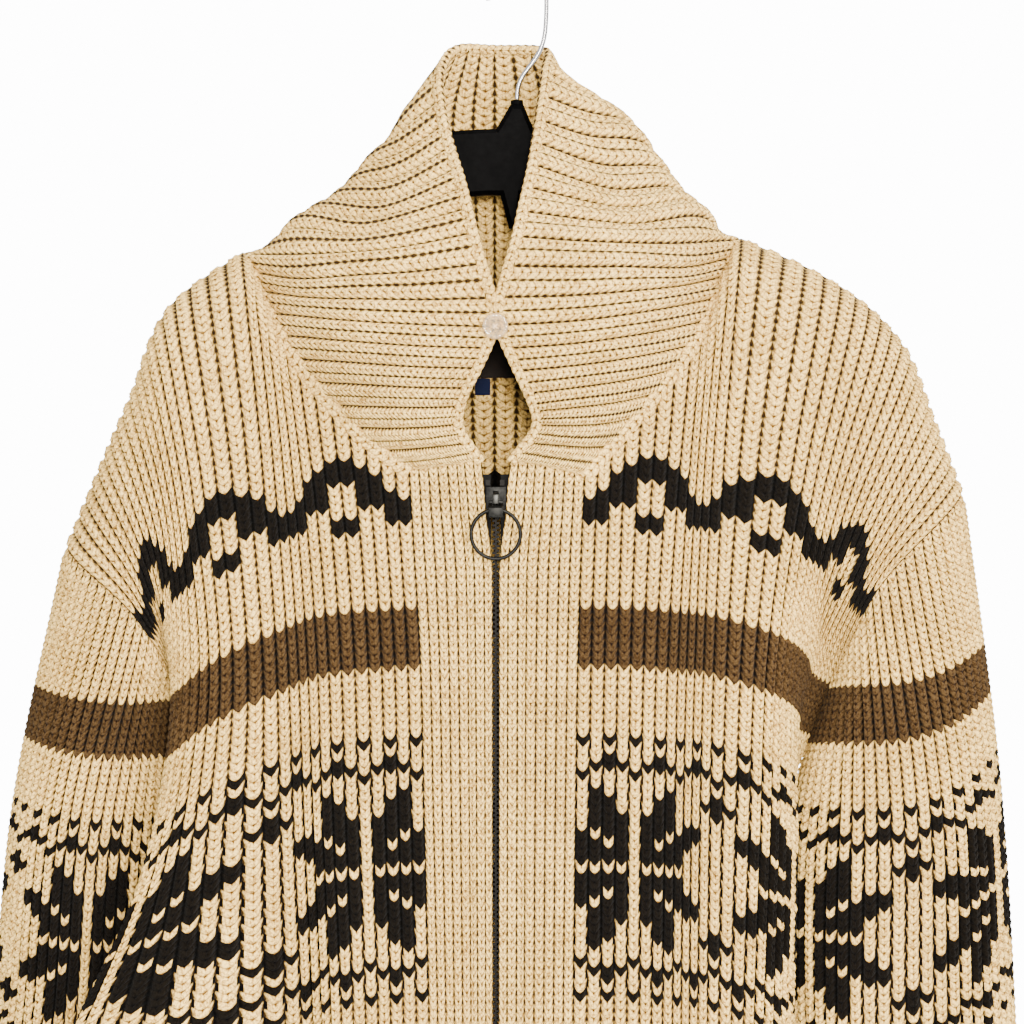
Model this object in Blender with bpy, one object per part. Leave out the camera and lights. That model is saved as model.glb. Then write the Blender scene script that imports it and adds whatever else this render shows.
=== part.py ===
"""A chunky ribbed zip cardigan with a shawl collar, hanging on a moulded hanger with a wire hook.

Metres, +Z up, the front faces -Y. The origin is the inner top of the hook. Left and right are the viewer's.
Tables are in millimetres; MM turns them into metres.
"""
import math

import bmesh
import bpy
import numpy as np
from mathutils import Vector

MM = 0.001

# Knit wall: a plain inside and ribs raised on the outside, measured from the cloth's middle surface.
WALL_INSIDE = 2.0
RIB_VALLEY = 0.6
RIB_RIDGE = 2.2
SEAM_GAP = 0.3

# Lengths of the body's cloth from the hem, at the levels of the front table.
LOW_ROW = 243.0
WAIST_ROW = 370.0
CHEST_ROW = 462.0
HEM_Z = -850.0
LOW_Z = -607.0
WAIST_Z = -480.0
CHEST_Z = -388.0

FRONT_RIBS = 32
NECK_RIB = 12.0
# The cloth turns over the hanger's arms this far each way from the shoulder line.
SHOULDER_HALF = 9.5
SHOULDER_DROP = 3.0
SHOULDER_TURN_IN = 0.6
SLEEVE_RIBS = 48
COLLAR_RIBS = 40
BAND_RIBS = 5

# One row for each guide rib, from the front band to the side seam.
# rib: its number. top: where it starts on the neckline or shoulder. yoke: half way down to the chest.
# chest, waist, low, hem: x and y there. droop: how much lower it hangs than the ribs beside the band.
FRONT_COLUMNS = ("rib", "top", "yoke", "chest", "waist", "low", "hem", "droop")
FRONT_RIGHT_TABLE = (
    (0.0, (38, -46, -295), (36, -48, -342), (34.5, -50), (33, -51), (31.5, -52), (31, -50), 0),
    (3.4, (65, -42, -264), (62, -48, -327), (60, -51), (58.5, -52), (57.5, -53), (57, -50), 0),
    (7.0, (99, -31, -221), (91, -44, -306), (85.5, -52), (83.5, -53), (82, -54), (83, -51), 2),
    (12.0, (129, 0, -157), (118, -38, -279), (111.5, -52), (109, -52), (107.5, -53), (109, -50), 5),
    (16.0, (177, 0, -179), (156, -36, -293), (141.5, -46), (138, -47), (134, -48), (140, -47), 14),
    (22.0, (221, 0, -217), (185, -33, -318), (160, -24), (158, -25), (155, -29), (164, -30), 26),
    (27.0, (239, 0, -260), (197, -38, -341), (163, -9), (146, -11), (131, -13), (146, -13), 36),
    (32.0, (255, 0, -302), (206, -38, -357), (175, 4), (136, 4), (114, 4), (130, 4), 42),
)
FRONT_LEFT_TABLE = (
    (0.0, (-61, -46, -292), (-58, -48, -340), (-55, -50), (-52.5, -51), (-49.5, -52), (-49, -50), 0),
    (3.4, (-90, -42, -270), (-84, -48, -329), (-80, -51), (-77.5, -52), (-74, -53), (-74, -50), 1),
    (7.0, (-125, -31, -229), (-114, -44, -310), (-107, -52), (-104, -53), (-99, -53), (-101, -50), 3),
    (12.0, (-158, 0, -165), (-145, -38, -285), (-136, -52), (-134, -49), (-131, -44), (-134, -42), 8),
    (16.0, (-197, 0, -193), (-178, -40, -303), (-168, -50), (-175, -54), (-186, -57), (-190, -53), 18),
    (22.0, (-222, 0, -248), (-200, -40, -332), (-194, -36), (-209, -46), (-262, -46), (-270, -44), 34),
    (27.0, (-240, 0, -290), (-211, -40, -352), (-192, -15), (-195, -32), (-226, -33), (-232, -31), 40),
    (32.0, (-258, 0, -333), (-217, -40, -374), (-190, 4), (-178, -10), (-182, -14), (-190, -12), 43),
)
# The back from the left side seam to the right one; its ends are the fronts' last rows but for the yoke.
BACK_LEFT_TABLE = (
    (-27.0, (-240, 0, -290), (-211, 40, -346), (-182, 24), (-172, 12), (-174, 8), (-180, 9), 40),
    (-22.0, (-222, 0, -248), (-198, 38, -326), (-173, 42), (-168, 36), (-166, 32), (-172, 33), 32),
    (-16.0, (-197, 0, -193), (-172, 36, -300), (-150, 50), (-147, 50), (-145, 50), (-150, 49), 18),
    (-12.0, (-158, 0, -165), (-138, 38, -285), (-115, 50), (-112, 50), (-111, 49), (-116, 48), 8),
    (-5.0, (-85, 29, -187), (-72, 44, -288), (-60, 51), (-58, 51), (-57, 50), (-60, 49), 2),
    (0.0, (-13, 34, -191), (-13, 46, -290), (-12, 51), (-12, 50), (-12, 49), (-12, 48), 0),
)
BACK_RIGHT_TABLE = (
    (5.0, (58, 29, -184), (46, 44, -286), (36, 51), (34, 51), (33, 50), (36, 49), 1),
    (12.0, (129, 0, -157), (112, 38, -279), (91, 50), (88, 50), (87, 49), (92, 48), 5),
    (16.0, (177, 0, -179), (151, 36, -293), (126, 50), (122, 50), (120, 50), (126, 49), 14),
    (22.0, (221, 0, -217), (182, 36, -316), (152, 40), (146, 38), (142, 38), (150, 38), 26),
    (27.0, (239, 0, -260), (198, 38, -336), (161, 22), (146, 20), (129, 20), (144, 20), 36),
)
ARMHOLE_BACK_YOKE = {"left": (-219, 42, -374), "right": (208, 40, -357)}

# One row for each level of a sleeve: middle x, middle y, z, half width, half depth.
SLEEVE_COLUMNS = ("x", "y", "z", "half_width", "half_depth")
SLEEVE_RIGHT_TABLE = (
    (221.5, 1, -478, 55.5, 44.5),
    (221, 2, -607, 64, 40),
    (228, 4, -750, 62, 38),
    (233, 6, -885, 57, 35),
)
SLEEVE_LEFT_TABLE = (
    (-244, 24, -492, 48, 42),
    (-254, 36, -607, 50, 42),
    (-272, 38, -750, 51, 41),
    (-284, 38, -890, 45, 37),
)

# One row for each guide rib of the collar's halves, from their lower ends to the middle of the back.
# seam: on the neckline, used for its place along it.
# inner, outer: a third and two thirds up. edge: the free edge.
COLLAR_COLUMNS = ("rib", "seam", "inner", "outer", "edge")
COLLAR_LEFT_TABLE = (
    (0.0, (-61, -46, -291), (-47, -48, -290), (-33, -48, -288), (-20.5, -47, -286)),
    (1.8, (-90, -42, -270), (-70, -52, -270), (-51, -55, -269), (-33, -50, -267)),
    (3.5, (-112, -38, -248), (-85, -53, -249), (-58, -60, -250), (-31, -54, -250)),
    (5.3, (-130, -28, -222), (-94, -53, -226), (-57, -62, -229), (-21, -57, -230)),
    (7.2, (-144, -15, -197), (-100, -50, -203), (-55, -61, -206), (-13, -58, -207)),
    (10.0, (-158, 0, -165), (-118, -33, -167), (-70, -49, -165), (-25, -47, -156)),
    (11.3, (-145, 12, -171), (-134, -4, -151), (-85, -32, -153), (-29, -40, -138)),
    (12.6, (-125, 20, -177), (-119, 2, -141), (-74, -24, -140), (-33, -32, -123)),
    (13.9, (-105, 25, -182), (-102, 5, -129), (-70, -13, -124), (-38, -24, -107)),
    (15.4, (-84, 29, -187), (-86, 9, -111), (-66, -4, -102), (-43, -14, -87)),
    (17.0, (-60, 31, -189), (-70, 20, -100), (-62, 9, -80), (-45, 2, -62)),
    (18.6, (-36, 33, -190), (-44, 34, -130), (-46, 31, -80), (-35, 22, -46)),
    (20.0, (-13, 34, -191), (-13, 40, -142), (-13, 42, -93), (-13, 34, -45)),
)
# The right half leans out more over the shoulder.
COLLAR_RIGHT_TABLE = (
    (0.0, (38, -46, -294), (24, -48, -291), (10, -48, -288), (-3.5, -47, -286)),
    (1.8, (65, -42, -266), (47, -52, -268), (29, -55, -268), (11, -50, -267)),
    (3.5, (87, -38, -243), (62, -53, -247), (36, -60, -250), (9, -54, -253)),
    (5.3, (105, -28, -216), (70, -53, -223), (34, -62, -228), (-1, -57, -231)),
    (7.2, (118, -15, -189), (76, -50, -198), (32, -61, -204), (-10.5, -58, -206)),
    (10.0, (129, 0, -157), (92, -35, -161), (45, -50, -161), (0, -47, -158)),
    (11.3, (122, 12, -165), (113, -4, -145), (62, -33, -147), (4, -40, -139)),
    (12.6, (105, 20, -172), (100, 3, -135), (54, -24, -134), (8, -32, -121)),
    (13.9, (86, 25, -178), (86, 5, -118), (48, -13, -116), (11, -24, -104)),
    (15.4, (64, 29, -183), (68, 9, -94), (42, -3, -92), (14, -14, -84)),
    (17.0, (40, 31, -187), (50, 19, -76), (36, 10, -70), (17, 2, -60)),
    (18.6, (14, 33, -190), (24, 34, -118), (25, 31, -75), (16, 22, -47)),
)
BUTTON_RIB = 7.2

# Front bands: z, then the x of the edges that meet the zip, from the zip's middle line.
ZIP_X = -12.0
BAND_COLUMNS = ("z", "from_zip")
BAND_TABLE = (
    (-289, 8.0),
    (-300, 6.6),
    (-319, 6.5),
    (-340, 4.4),
    (-422, 2.2),
    (-607, 2.0),
    (-850, 2.0),
)
BAND_TOP_GAP = 0.6

# Zip and its pull.
CHAIN_WIDTH = 5.0
CHAIN_DEPTH = 2.4
CHAIN_BEHIND_BAND = 3.6
TAPE_WIDTH = 12.0
TAPE_THICK = 0.8
SLIDER_TOP_Z = -300.0
SLIDER_HEIGHT = 14.0
SLIDER_WIDTH = 11.6
PLATE_THICK = 1.3
CROWN_WIDTH = 3.0
CROWN_THICK = 0.9
CROWN_TOP_Z = -302.4
LINK_PIVOT_Z = -308.3
LINK_BAR_RADIUS = 0.6
LINK_WIDTH = 8.0
RING_TOP_Z = -312.9
RING_RADIUS = 13.9
RING_WIRE = 1.1
TUNNEL_RADIUS = 1.7
TAPE_TOP_Z = -293.0
POST_HALF_WIDTH = 1.6
CROWN_STANDS = 4.2
LINK_STANDS = 2.3
RING_STANDS = 6.2

# Hanger and hook.
HANGER_THICK = 12.0
# One row for each station of the hanger: x, its upper edge, its lower edge.
HANGER_COLUMNS = ("x", "upper", "lower")
HANGER_TABLE = (
    (-203, -216.6, -226),
    (-197, -206.2, -230),
    (-184, -193.4, -220),
    (-158, -182.6, -208),
    (-124, -169.5, -194),
    (-84, -138, -165),
    (-43, -95.5, -134),
    (-18, -94, -132),
    (-9.5, -94, -132),
    (-4.5, -94, -151),
    (1.2, -94, -151),
    (3, -94, -132),
    (18, -94, -132),
    (31, -95.5, -134),
    (93, -152, -178),
    (130, -176, -199),
    (160, -181, -206),
    (190, -191.4, -217),
    (204, -204, -227),
    (213, -217, -226),
)
HANGER_EDGE = 2.5
NECK_OF_HANGER = ((-12, -94), (-7.8, -87), (-3.8, -80.2), (3.8, -80.2), (6.6, -87), (9.5, -94))
HOOK_WIRE = 1.4
HOOK_ARCH = 17.0
HOOK_TIP_TURN = 194.0
HOOK_STEM = (
    (17, -26), (16.6, -34), (15.8, -42), (13, -50), (8, -57), (3, -63), (0.6, -69), (0, -73), (0, -76.5),
)
FERRULE_RADIUS = 3.6
FERRULE_LENGTH = 2.7
FERRULE_LOW_Z = -79.9

# The button's turned profile, from the middle of its front: radius and depth in front of its place.
BUTTON_PROFILE = (
    (0, 0), (5.6, 0), (7.0, -0.5), (7.5, -1.4), (7.2, -2.6), (6.2, -3.0), (5.2, -2.3), (0, -2.2),
)
LABEL = {"x": -10.0, "width": 30.0, "upper": -214.0, "lower": -236.0}
LABEL_TAB = {"x": -20.0, "width": 9.0, "upper": -236.3, "lower": -246.0}
PATCH_THICK = 0.8

# Where each wall's rows of corners lie: along a body rib from the hem, as shares of the yoke,
# of a sleeve below its cap, of the cap, and of the collar's width.
BODY_ROWS = (0.0, 125.0, LOW_ROW, 320.0, 395.0, CHEST_ROW)
YOKE_SHARES = (0.27, 0.52, 0.76, 0.955, 1.0)
SLEEVE_ROWS = (0.0, 0.34, 0.66, 1.0)
CAP_SHARES = (0.33, 0.67, 1.0)
COLLAR_SHARES = (0.0, 0.15, 0.35, 0.57, 0.79, 1.0)
# The side seams are eased together over this many half ribs of each panel.
EASE_COLUMNS = 8
# Away from the shoulder seams the collar stands this many more half gaps off the neckline.
COLLAR_SEAM = 4.0
COLLAR_SEAM_EASE = 25.0

CREAM = (0.70, 0.52, 0.33)
BLACK = (0.02, 0.018, 0.017)
DARK_BROWN = (0.05, 0.04, 0.035)
NAVY = (0.02, 0.03, 0.09)
CLEAR_WHITE = (0.80, 0.80, 0.76)
STEEL = (0.55, 0.55, 0.56)
GUNMETAL = (0.16, 0.16, 0.17)


def cubic_weights(knots, places):
    """Weights of a smooth curve through values at knots: a row per place, a column per knot."""
    knots = np.asarray(knots, float)
    places = np.asarray(places, float).ravel()
    count = len(knots)
    values = np.eye(count)
    steps = np.diff(knots)
    slopes = np.diff(values, axis=0) / steps[:, None]
    tangents = np.empty_like(values)
    tangents[0] = slopes[0]
    tangents[-1] = slopes[-1]
    share = (steps[:-1] / (steps[:-1] + steps[1:]))[:, None]
    tangents[1:-1] = slopes[:-1] * (1 - share) + slopes[1:] * share
    cell = np.clip(np.searchsorted(knots, places, side="right") - 1, 0, count - 2)
    step = steps[cell]
    t = ((places - knots[cell]) / step)[:, None]
    step = step[:, None]
    start = (1 + 2 * t) * (1 - t) ** 2 * values[cell] + t * (1 - t) ** 2 * step * tangents[cell]
    end = t * t * (3 - 2 * t) * values[cell + 1] + t * t * (t - 1) * step * tangents[cell + 1]
    return start + end


def unit(vectors):
    return vectors / np.maximum(np.linalg.norm(vectors, axis=-1, keepdims=True), 1e-9)


class Panel:
    """A body panel: guide ribs from the hem to its top, with a smooth surface through them."""

    def __init__(self, rows, facing):
        self.ribs = np.array([row["rib"] for row in rows])
        self.guides = []
        for row in rows:
            levels = ((HEM_Z, "hem"), (LOW_Z, "low"), (WAIST_Z, "waist"), (CHEST_Z, "chest"))
            points = [(*row[name], z - row["droop"]) for z, name in levels] + [row["yoke"]]
            if abs(row["rib"]) >= NECK_RIB:
                x, y, z = row["top"]
                turned = x - math.copysign(SHOULDER_TURN_IN, x)
                points.append((turned, facing * SHOULDER_HALF, z - SHOULDER_DROP))
            points = np.array(points + [row["top"]], float)
            knots = lengths_along(points)
            self.guides.append((knots, points))
        self.upper = np.array([knots[-1] - knots[3] for knots, points in self.guides])
        self.tops = np.array([points[-1] for knots, points in self.guides])

    def top_row(self, ribs):
        """Cloth length from the hem to the panel's top at each rib."""
        return CHEST_ROW + cubic_weights(self.ribs, ribs) @ self.upper

    def top_line(self, ribs):
        """The neckline and shoulders, each smooth, with a corner between them at the neck ribs."""
        line = np.zeros((ribs.size, 3))
        flat = ribs.ravel()
        for low, high in ((-FRONT_RIBS, -NECK_RIB), (-NECK_RIB, NECK_RIB), (NECK_RIB, FRONT_RIBS)):
            held = (self.ribs >= low) & (self.ribs <= high)
            asked = (flat >= low) & (flat <= high)
            if held.sum() > 1 and asked.any():
                line[asked] = cubic_weights(self.ribs[held], flat[asked]) @ self.tops[held]
        return line.reshape(*ribs.shape, 3)

    def at(self, ribs, rows):
        """Points of the middle surface; ribs and rows are grids of one shape."""
        top = self.top_row(ribs).reshape(ribs.shape)
        above = (rows - CHEST_ROW) / (top - CHEST_ROW)
        below = rows / CHEST_ROW
        across = cubic_weights(self.ribs, ribs)
        points = np.zeros((ribs.size, 3))
        for column, (knots, places) in enumerate(self.guides):
            along_guide = np.where(
                rows > CHEST_ROW,
                knots[3] + above * (knots[-1] - knots[3]),
                below * knots[3],
            )
            points += across[:, column, None] * (cubic_weights(knots, along_guide) @ places)
        points = points.reshape(*ribs.shape, 3)
        loose = self.top_line(ribs) - (across @ self.tops).reshape(points.shape)
        return points + loose * np.clip(above, 0, 1)[..., None] ** 3


def table(columns, rows):
    return [dict(zip(columns, row)) for row in rows]


def grid_normals(points):
    """Outward normals of a grid that runs to the right, seen from outside, then upwards."""
    across = np.gradient(points, axis=0)
    upward = np.gradient(points, axis=1)
    return unit(np.cross(across, upward))


def make_object(name, vertices, faces, colour, roughness, metallic=0.0, smooth=True):
    mesh = bpy.data.meshes.new(name)
    mesh.from_pydata([tuple(v) for v in vertices], [], faces)
    obj = bpy.data.objects.new(name, mesh)
    bpy.context.collection.objects.link(obj)
    finish_object(obj, colour, roughness, metallic, smooth)
    return obj


def finish_object(obj, colour, roughness, metallic=0.0, smooth=True):
    material = bpy.data.materials.new(obj.name)
    material.use_nodes = True
    shader = material.node_tree.nodes["Principled BSDF"]
    shader.inputs["Base Color"].default_value = (*colour, 1.0)
    shader.inputs["Roughness"].default_value = roughness
    shader.inputs["Metallic"].default_value = metallic
    obj.data.materials.clear()
    obj.data.materials.append(material)
    if smooth:
        obj.data.shade_smooth()
        obj.data.set_sharp_from_angle(angle=math.radians(40))


def wall(name, outer, inner, colour, closed=False):
    """A cloth wall between two grids of points; the inner grid has every fourth column of the outer one."""
    skip = (outer.shape[0] - (0 if closed else 1)) // (inner.shape[0] - (0 if closed else 1))
    columns, rows = outer.shape[:2]
    inner_columns = inner.shape[0]
    vertices = np.concatenate((outer.reshape(-1, 3), inner.reshape(-1, 3))) * MM
    first_inner = columns * rows

    def out(i, j):
        return (i % columns) * rows + j

    def inn(i, j):
        return first_inner + (i % inner_columns) * rows + j

    faces = []
    for i in range(columns if closed else columns - 1):
        for j in range(rows - 1):
            faces.append((out(i, j), out(i + 1, j), out(i + 1, j + 1)))
            faces.append((out(i, j), out(i + 1, j + 1), out(i, j + 1)))
    for i in range(inner_columns if closed else inner_columns - 1):
        for j in range(rows - 1):
            faces.append((inn(i, j), inn(i, j + 1), inn(i + 1, j + 1)))
            faces.append((inn(i, j), inn(i + 1, j + 1), inn(i + 1, j)))
        for j, upper in ((0, False), (rows - 1, True)):
            rim = []
            for step in range(skip):
                near = i if step < skip // 2 else i + 1
                rim.append((out(i * skip + step, j), inn(near, j), out(i * skip + step + 1, j)))
            rim.append((out(i * skip + skip // 2, j), inn(i, j), inn(i + 1, j)))
            faces += [face[::-1] for face in rim] if upper else rim
    if not closed:
        for j in range(rows - 1):
            last, last_in = columns - 1, inner_columns - 1
            faces.append((out(0, j), out(0, j + 1), inn(0, j + 1)))
            faces.append((out(0, j), inn(0, j + 1), inn(0, j)))
            faces.append((out(last, j), inn(last_in, j + 1), out(last, j + 1)))
            faces.append((out(last, j), inn(last_in, j), inn(last_in, j + 1)))
    return make_object(name, vertices, faces, colour, 0.95)


def relief(columns, rows, flat_rows=(), flat_columns=()):
    """Height of a ribbed outer face: ridges between valleys, flat along the seams."""
    height = np.full((columns, rows), RIB_VALLEY)
    height[1::2] = RIB_RIDGE
    for column in flat_columns:
        height[column] = RIB_VALLEY
    for row in flat_rows:
        height[:, row] = RIB_VALLEY
    return height[..., None]


def body_grid(panel, ribs):
    """A panel's middle surface at every half rib, from the hem up."""
    places = np.linspace(ribs[0], ribs[1], int(abs(ribs[1] - ribs[0])) * 2 + 1)
    top = panel.top_row(places)
    rows = [np.full(len(places), row) for row in BODY_ROWS]
    rows += [CHEST_ROW + share * (top - CHEST_ROW) for share in YOKE_SHARES]
    rows = np.stack(rows, axis=1)
    return panel.at(np.repeat(places[:, None], rows.shape[1], axis=1), rows)


def along(points):
    """Directions along a line of points."""
    return unit(np.gradient(points, axis=0))


def part_edges(edge, normals, inward):
    """Half a seam's gap, from the edge into its own panel, square to the cloth and to the seam."""
    across = unit(np.cross(along(edge), normals))
    side = np.sign(np.sum(across * inward, axis=-1, keepdims=True))
    return across * side * SEAM_GAP / 2


def side_shifts(grid, normals):
    """The shifts of a panel's first and last columns."""
    shift = np.zeros_like(grid)
    for column, nearer in ((0, 1), (-1, -2)):
        shift[column] = part_edges(grid[column], normals[column], grid[nearer] - grid[column])
    return shift


def top_shifts(grid, normals):
    """The shifts of a panel's top row."""
    return part_edges(grid[:, -1], normals[:, -1], grid[:, -2] - grid[:, -1])


class Body:
    """The fronts and the back, with the seams that they share."""

    def __init__(self):
        self.chest = len(BODY_ROWS) - 1
        self.grid = {}
        self.normal = {}
        sides = {"left": (FRONT_LEFT_TABLE, (FRONT_RIBS, 0)), "right": (FRONT_RIGHT_TABLE, (0, FRONT_RIBS))}
        for side, (rows, ribs) in sides.items():
            self.grid[side] = body_grid(Panel(table(FRONT_COLUMNS, rows), -1), ribs)
        self.grid["back"] = body_grid(Panel(self.back_rows(), 1), (FRONT_RIBS, -FRONT_RIBS))
        self.join_panels()
        for name, grid in self.grid.items():
            self.normal[name] = grid_normals(grid)
        self.share_normals()
        self.side_shift = {name: side_shifts(self.grid[name], self.normal[name]) for name in self.grid}
        self.top_shift = {name: top_shifts(self.grid[name], self.normal[name])[:, None] for name in self.grid}

    def back_rows(self):
        rows = list(BACK_LEFT_TABLE) + list(BACK_RIGHT_TABLE)
        for side, front, sign in (("left", FRONT_LEFT_TABLE, -1), ("right", FRONT_RIGHT_TABLE, 1)):
            rib, top, yoke, *rest = front[-1]
            rows.append((sign * rib, top, ARMHOLE_BACK_YOKE[side], *rest))
        return table(FRONT_COLUMNS, sorted(rows))

    def edges(self, side):
        """The front's side column and its shoulder columns, and the back's side column."""
        shoulder = int(NECK_RIB * 2)
        if side == "left":
            return 0, slice(0, 2 * FRONT_RIBS - shoulder + 1), -1
        return -1, slice(shoulder, None), 0

    def join_panels(self):
        back = self.grid["back"]
        count = 2 * (FRONT_RIBS - int(NECK_RIB)) + 1
        for side in ("left", "right"):
            front = self.grid[side]
            column, shoulder, back_column = self.edges(side)
            # Below the armpit both panels meet on the mean of their side lines.
            rows = slice(0, self.chest + 1)
            seam = (front[column, rows] + back[back_column, rows]) / 2
            for panel, edge in ((front, column), (back, back_column)):
                step = 1 if edge == 0 else -1
                move = seam - panel[edge, rows]
                for k in range(EASE_COLUMNS):
                    panel[edge + step * k, rows] += move * (1 - k / EASE_COLUMNS) ** 2
            part = slice(0, count) if side == "right" else slice(-count, None)
            back[part, -1] = front[shoulder, -1][::-1]

    def share_normals(self):
        """Gives panels that meet at a seam one normal there; at an armpit it points down."""
        back = self.normal["back"]
        count = 2 * (FRONT_RIBS - int(NECK_RIB)) + 1
        for side in ("left", "right"):
            front = self.normal[side]
            column, shoulder, back_column = self.edges(side)
            band_column = 0 if side == "right" else -1
            front[band_column] = (0, -1, 0)
            seam = unit(front[column, : self.chest + 1] + back[back_column, : self.chest + 1])
            front[column, : self.chest + 1] = back[back_column, : self.chest + 1] = seam
            line = front[shoulder, -1][::-1]
            part = slice(0, count) if side == "right" else slice(-count, None)
            line = unit((line + back[part, -1]) * (1, 0, 1))
            back[part, -1] = line
            front[shoulder, -1] = line[::-1]
            for name, edge in ((side, column), ("back", back_column)):
                normals = self.normal[name]
                rows = normals.shape[1] - 1 - self.chest
                for row in range(self.chest, normals.shape[1]):
                    pull = ((normals.shape[1] - 1 - row) / rows) ** 2
                    normals[edge, row] = unit((1 - pull) * normals[edge, row] + pull * np.array((0, 0, -1.0)))

    def armhole(self, side):
        """The armhole, up the front and down the back: points, normals and the body's shifts."""
        column, _, back_column = self.edges(side)
        rows = slice(self.chest, None)
        lines = []
        for kept in (self.grid, self.normal, self.side_shift):
            front, back = kept[side][column, rows], kept["back"][back_column, rows]
            lines.append(np.concatenate((front, back[::-1][1:])))
        return lines

    def neckline(self):
        """The neckline from the right band over the back to the left band: points, normals and shifts."""
        front = int(NECK_RIB) * 2
        back = 2 * (FRONT_RIBS - int(NECK_RIB))
        lines = []
        for kept in (self.grid, self.normal, self.top_shift):
            right, left = kept["right"][: front + 1, -1], kept["left"][-front - 1 :, -1]
            parts = (right, kept["back"][back:-back, -1][1:-1], left)
            lines.append(np.concatenate(parts))
        return lines

    def build(self, name, panel):
        grid, normals = self.grid[panel].copy(), self.normal[panel]
        columns, rows = grid.shape[:2]
        grid += self.side_shift[panel]
        grid[:, -1] += self.top_shift[panel][:, 0]
        sides = {"left": (1,), "right": (-2,), "back": (1, -2)}[panel]
        height = relief(columns, rows, flat_rows=(rows - 1,), flat_columns=sides)
        outer = grid + normals * height
        inner = (grid - normals * WALL_INSIDE)[::4]
        return wall(name, outer, inner, CREAM)


def lengths_along(line):
    """The length from a line's first point to each of its points."""
    return np.concatenate(([0], np.cumsum(np.linalg.norm(np.diff(line, axis=0), axis=1))))


def values_at(length, values, shares):
    """Values known at a line's points, at shares of its length."""
    places = shares * length[-1]
    return np.stack([np.interp(places, length, values[:, axis]) for axis in range(3)], axis=-1)


def on_lines(lines, shares):
    """A seam's points, normals and shifts at shares of its length, straight between its corners."""
    length = lengths_along(lines[0])
    return [values_at(length, values, shares) for values in lines]


def lengthwise(levels, shares, cap_shares):
    """Rows from the cuff up: shares of the way to the sleeve's first section, then of the cap above it."""
    knots = lengths_along(levels)
    places = [share * knots[-2] for share in shares]
    places += [knots[-2] + share * (knots[-1] - knots[-2]) for share in cap_shares]
    return cubic_weights(knots, places) @ levels


def ring_shares(line, columns):
    """Shares of the armhole's length for a sleeve's columns, so that every corner of the armhole has one."""
    length = lengths_along(line)
    anchors = np.linspace(0, 1, columns // 4 + 1)
    for corner in length[1:-1] / length[-1]:
        anchors[np.argmin(np.abs(anchors - corner))] = corner
    return np.interp(np.arange(columns) / 4, np.arange(len(anchors)), anchors)


def build_sleeve(name, body, side, rows):
    sections = table(SLEEVE_COLUMNS, rows)
    columns = 2 * SLEEVE_RIBS
    shares = np.arange(columns) / columns
    seam = body.armhole(side)
    facing = 1 if side == "right" else -1
    if side == "left":
        seam = [line[::-1] for line in seam]
    ring, ring_normals, ring_shift = on_lines(seam, ring_shares(seam[0], columns))
    turn = 2 * math.pi * shares
    rings = []
    for row in reversed(sections):
        x = row["x"] - facing * row["half_width"] * np.cos(turn)
        y = row["y"] - facing * row["half_depth"] * np.sin(turn)
        rings.append(np.stack((x, y, np.full(columns, row["z"])), axis=-1))
    rings.append(ring)
    levels = np.stack(rings, axis=1)
    grid = np.stack([lengthwise(levels[i], SLEEVE_ROWS, CAP_SHARES) for i in range(columns)])
    wrapped = np.concatenate((grid[-1:], grid, grid[:1]))
    normals = grid_normals(wrapped)[1:-1]
    normals[:, -1] = ring_normals
    grid[:, -1] -= ring_shift
    height = relief(columns, grid.shape[1], flat_rows=(grid.shape[1] - 1,))
    outer = grid + normals * height
    inner = (grid - normals * WALL_INSIDE)[::4]
    return wall(name, outer, inner, CREAM, closed=True)


def collar_guides():
    """Guide ribs round the collar from its right lower end over the back to its left lower end."""
    guides = []
    for row in table(COLLAR_COLUMNS, COLLAR_RIGHT_TABLE):
        guides.append((row["rib"], np.array([row[name] for name in COLLAR_COLUMNS[1:]], float)))
    for row in reversed(table(COLLAR_COLUMNS, COLLAR_LEFT_TABLE)):
        guides.append((COLLAR_RIBS - row["rib"], np.array([row[name] for name in COLLAR_COLUMNS[1:]], float)))
    return guides


def shoulder_corners(length):
    """Shares of the neckline's length at the two ends of the shoulder seams."""
    front = int(NECK_RIB) * 2
    return length[[front, -1 - front]] / length[-1]


def collar_grid(body):
    guides = collar_guides()
    ribs = np.array([rib for rib, _ in guides])
    columns = 2 * COLLAR_RIBS + 1
    places = np.arange(columns) / 2
    lines = body.neckline()
    line = lines[0]
    length = lengths_along(line)
    nearest = [length[np.argmin(np.linalg.norm(line - points[0], axis=1))] for _, points in guides]
    across = cubic_weights(ribs, places)
    shares = across @ (np.array(nearest) / length[-1])
    shares[0], shares[-1] = 0.0, 1.0
    anchors = shares[::4].copy()
    for corner in shoulder_corners(length):
        anchors[np.argmin(np.abs(anchors - corner))] = corner
    shares = np.interp(places, places[::4], anchors)
    seam, seam_normals, seam_shift = on_lines(lines, shares)
    rows = np.zeros((columns, len(COLLAR_SHARES), 3))
    for column, (_, points) in enumerate(guides):
        knots = lengths_along(points)
        curve = cubic_weights(knots, np.array(COLLAR_SHARES) * knots[-1]) @ points
        rows += across[:, column, None, None] * curve[None]
    settle = ((1 - np.array(COLLAR_SHARES)) ** 3)[None, :, None]
    rows += settle * (seam - rows[:, 0])[:, None]
    normals = grid_normals(rows)
    normals[:, 0] = seam_normals
    normals[0] = normals[-1] = (0, -1, 0)
    from_corner = np.abs(shares[:, None] - shoulder_corners(length)).min(axis=1) * length[-1]
    rows[:, 0] -= seam_shift * (1 + COLLAR_SEAM * np.minimum(1, from_corner / COLLAR_SEAM_EASE))[:, None]
    return rows, normals


def build_collar(rows, normals):
    height = relief(rows.shape[0], rows.shape[1], flat_rows=(0,))
    outer = rows + normals * height
    inner = (rows - normals * WALL_INSIDE)[::4]
    return wall("collar", outer, inner, CREAM)


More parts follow.
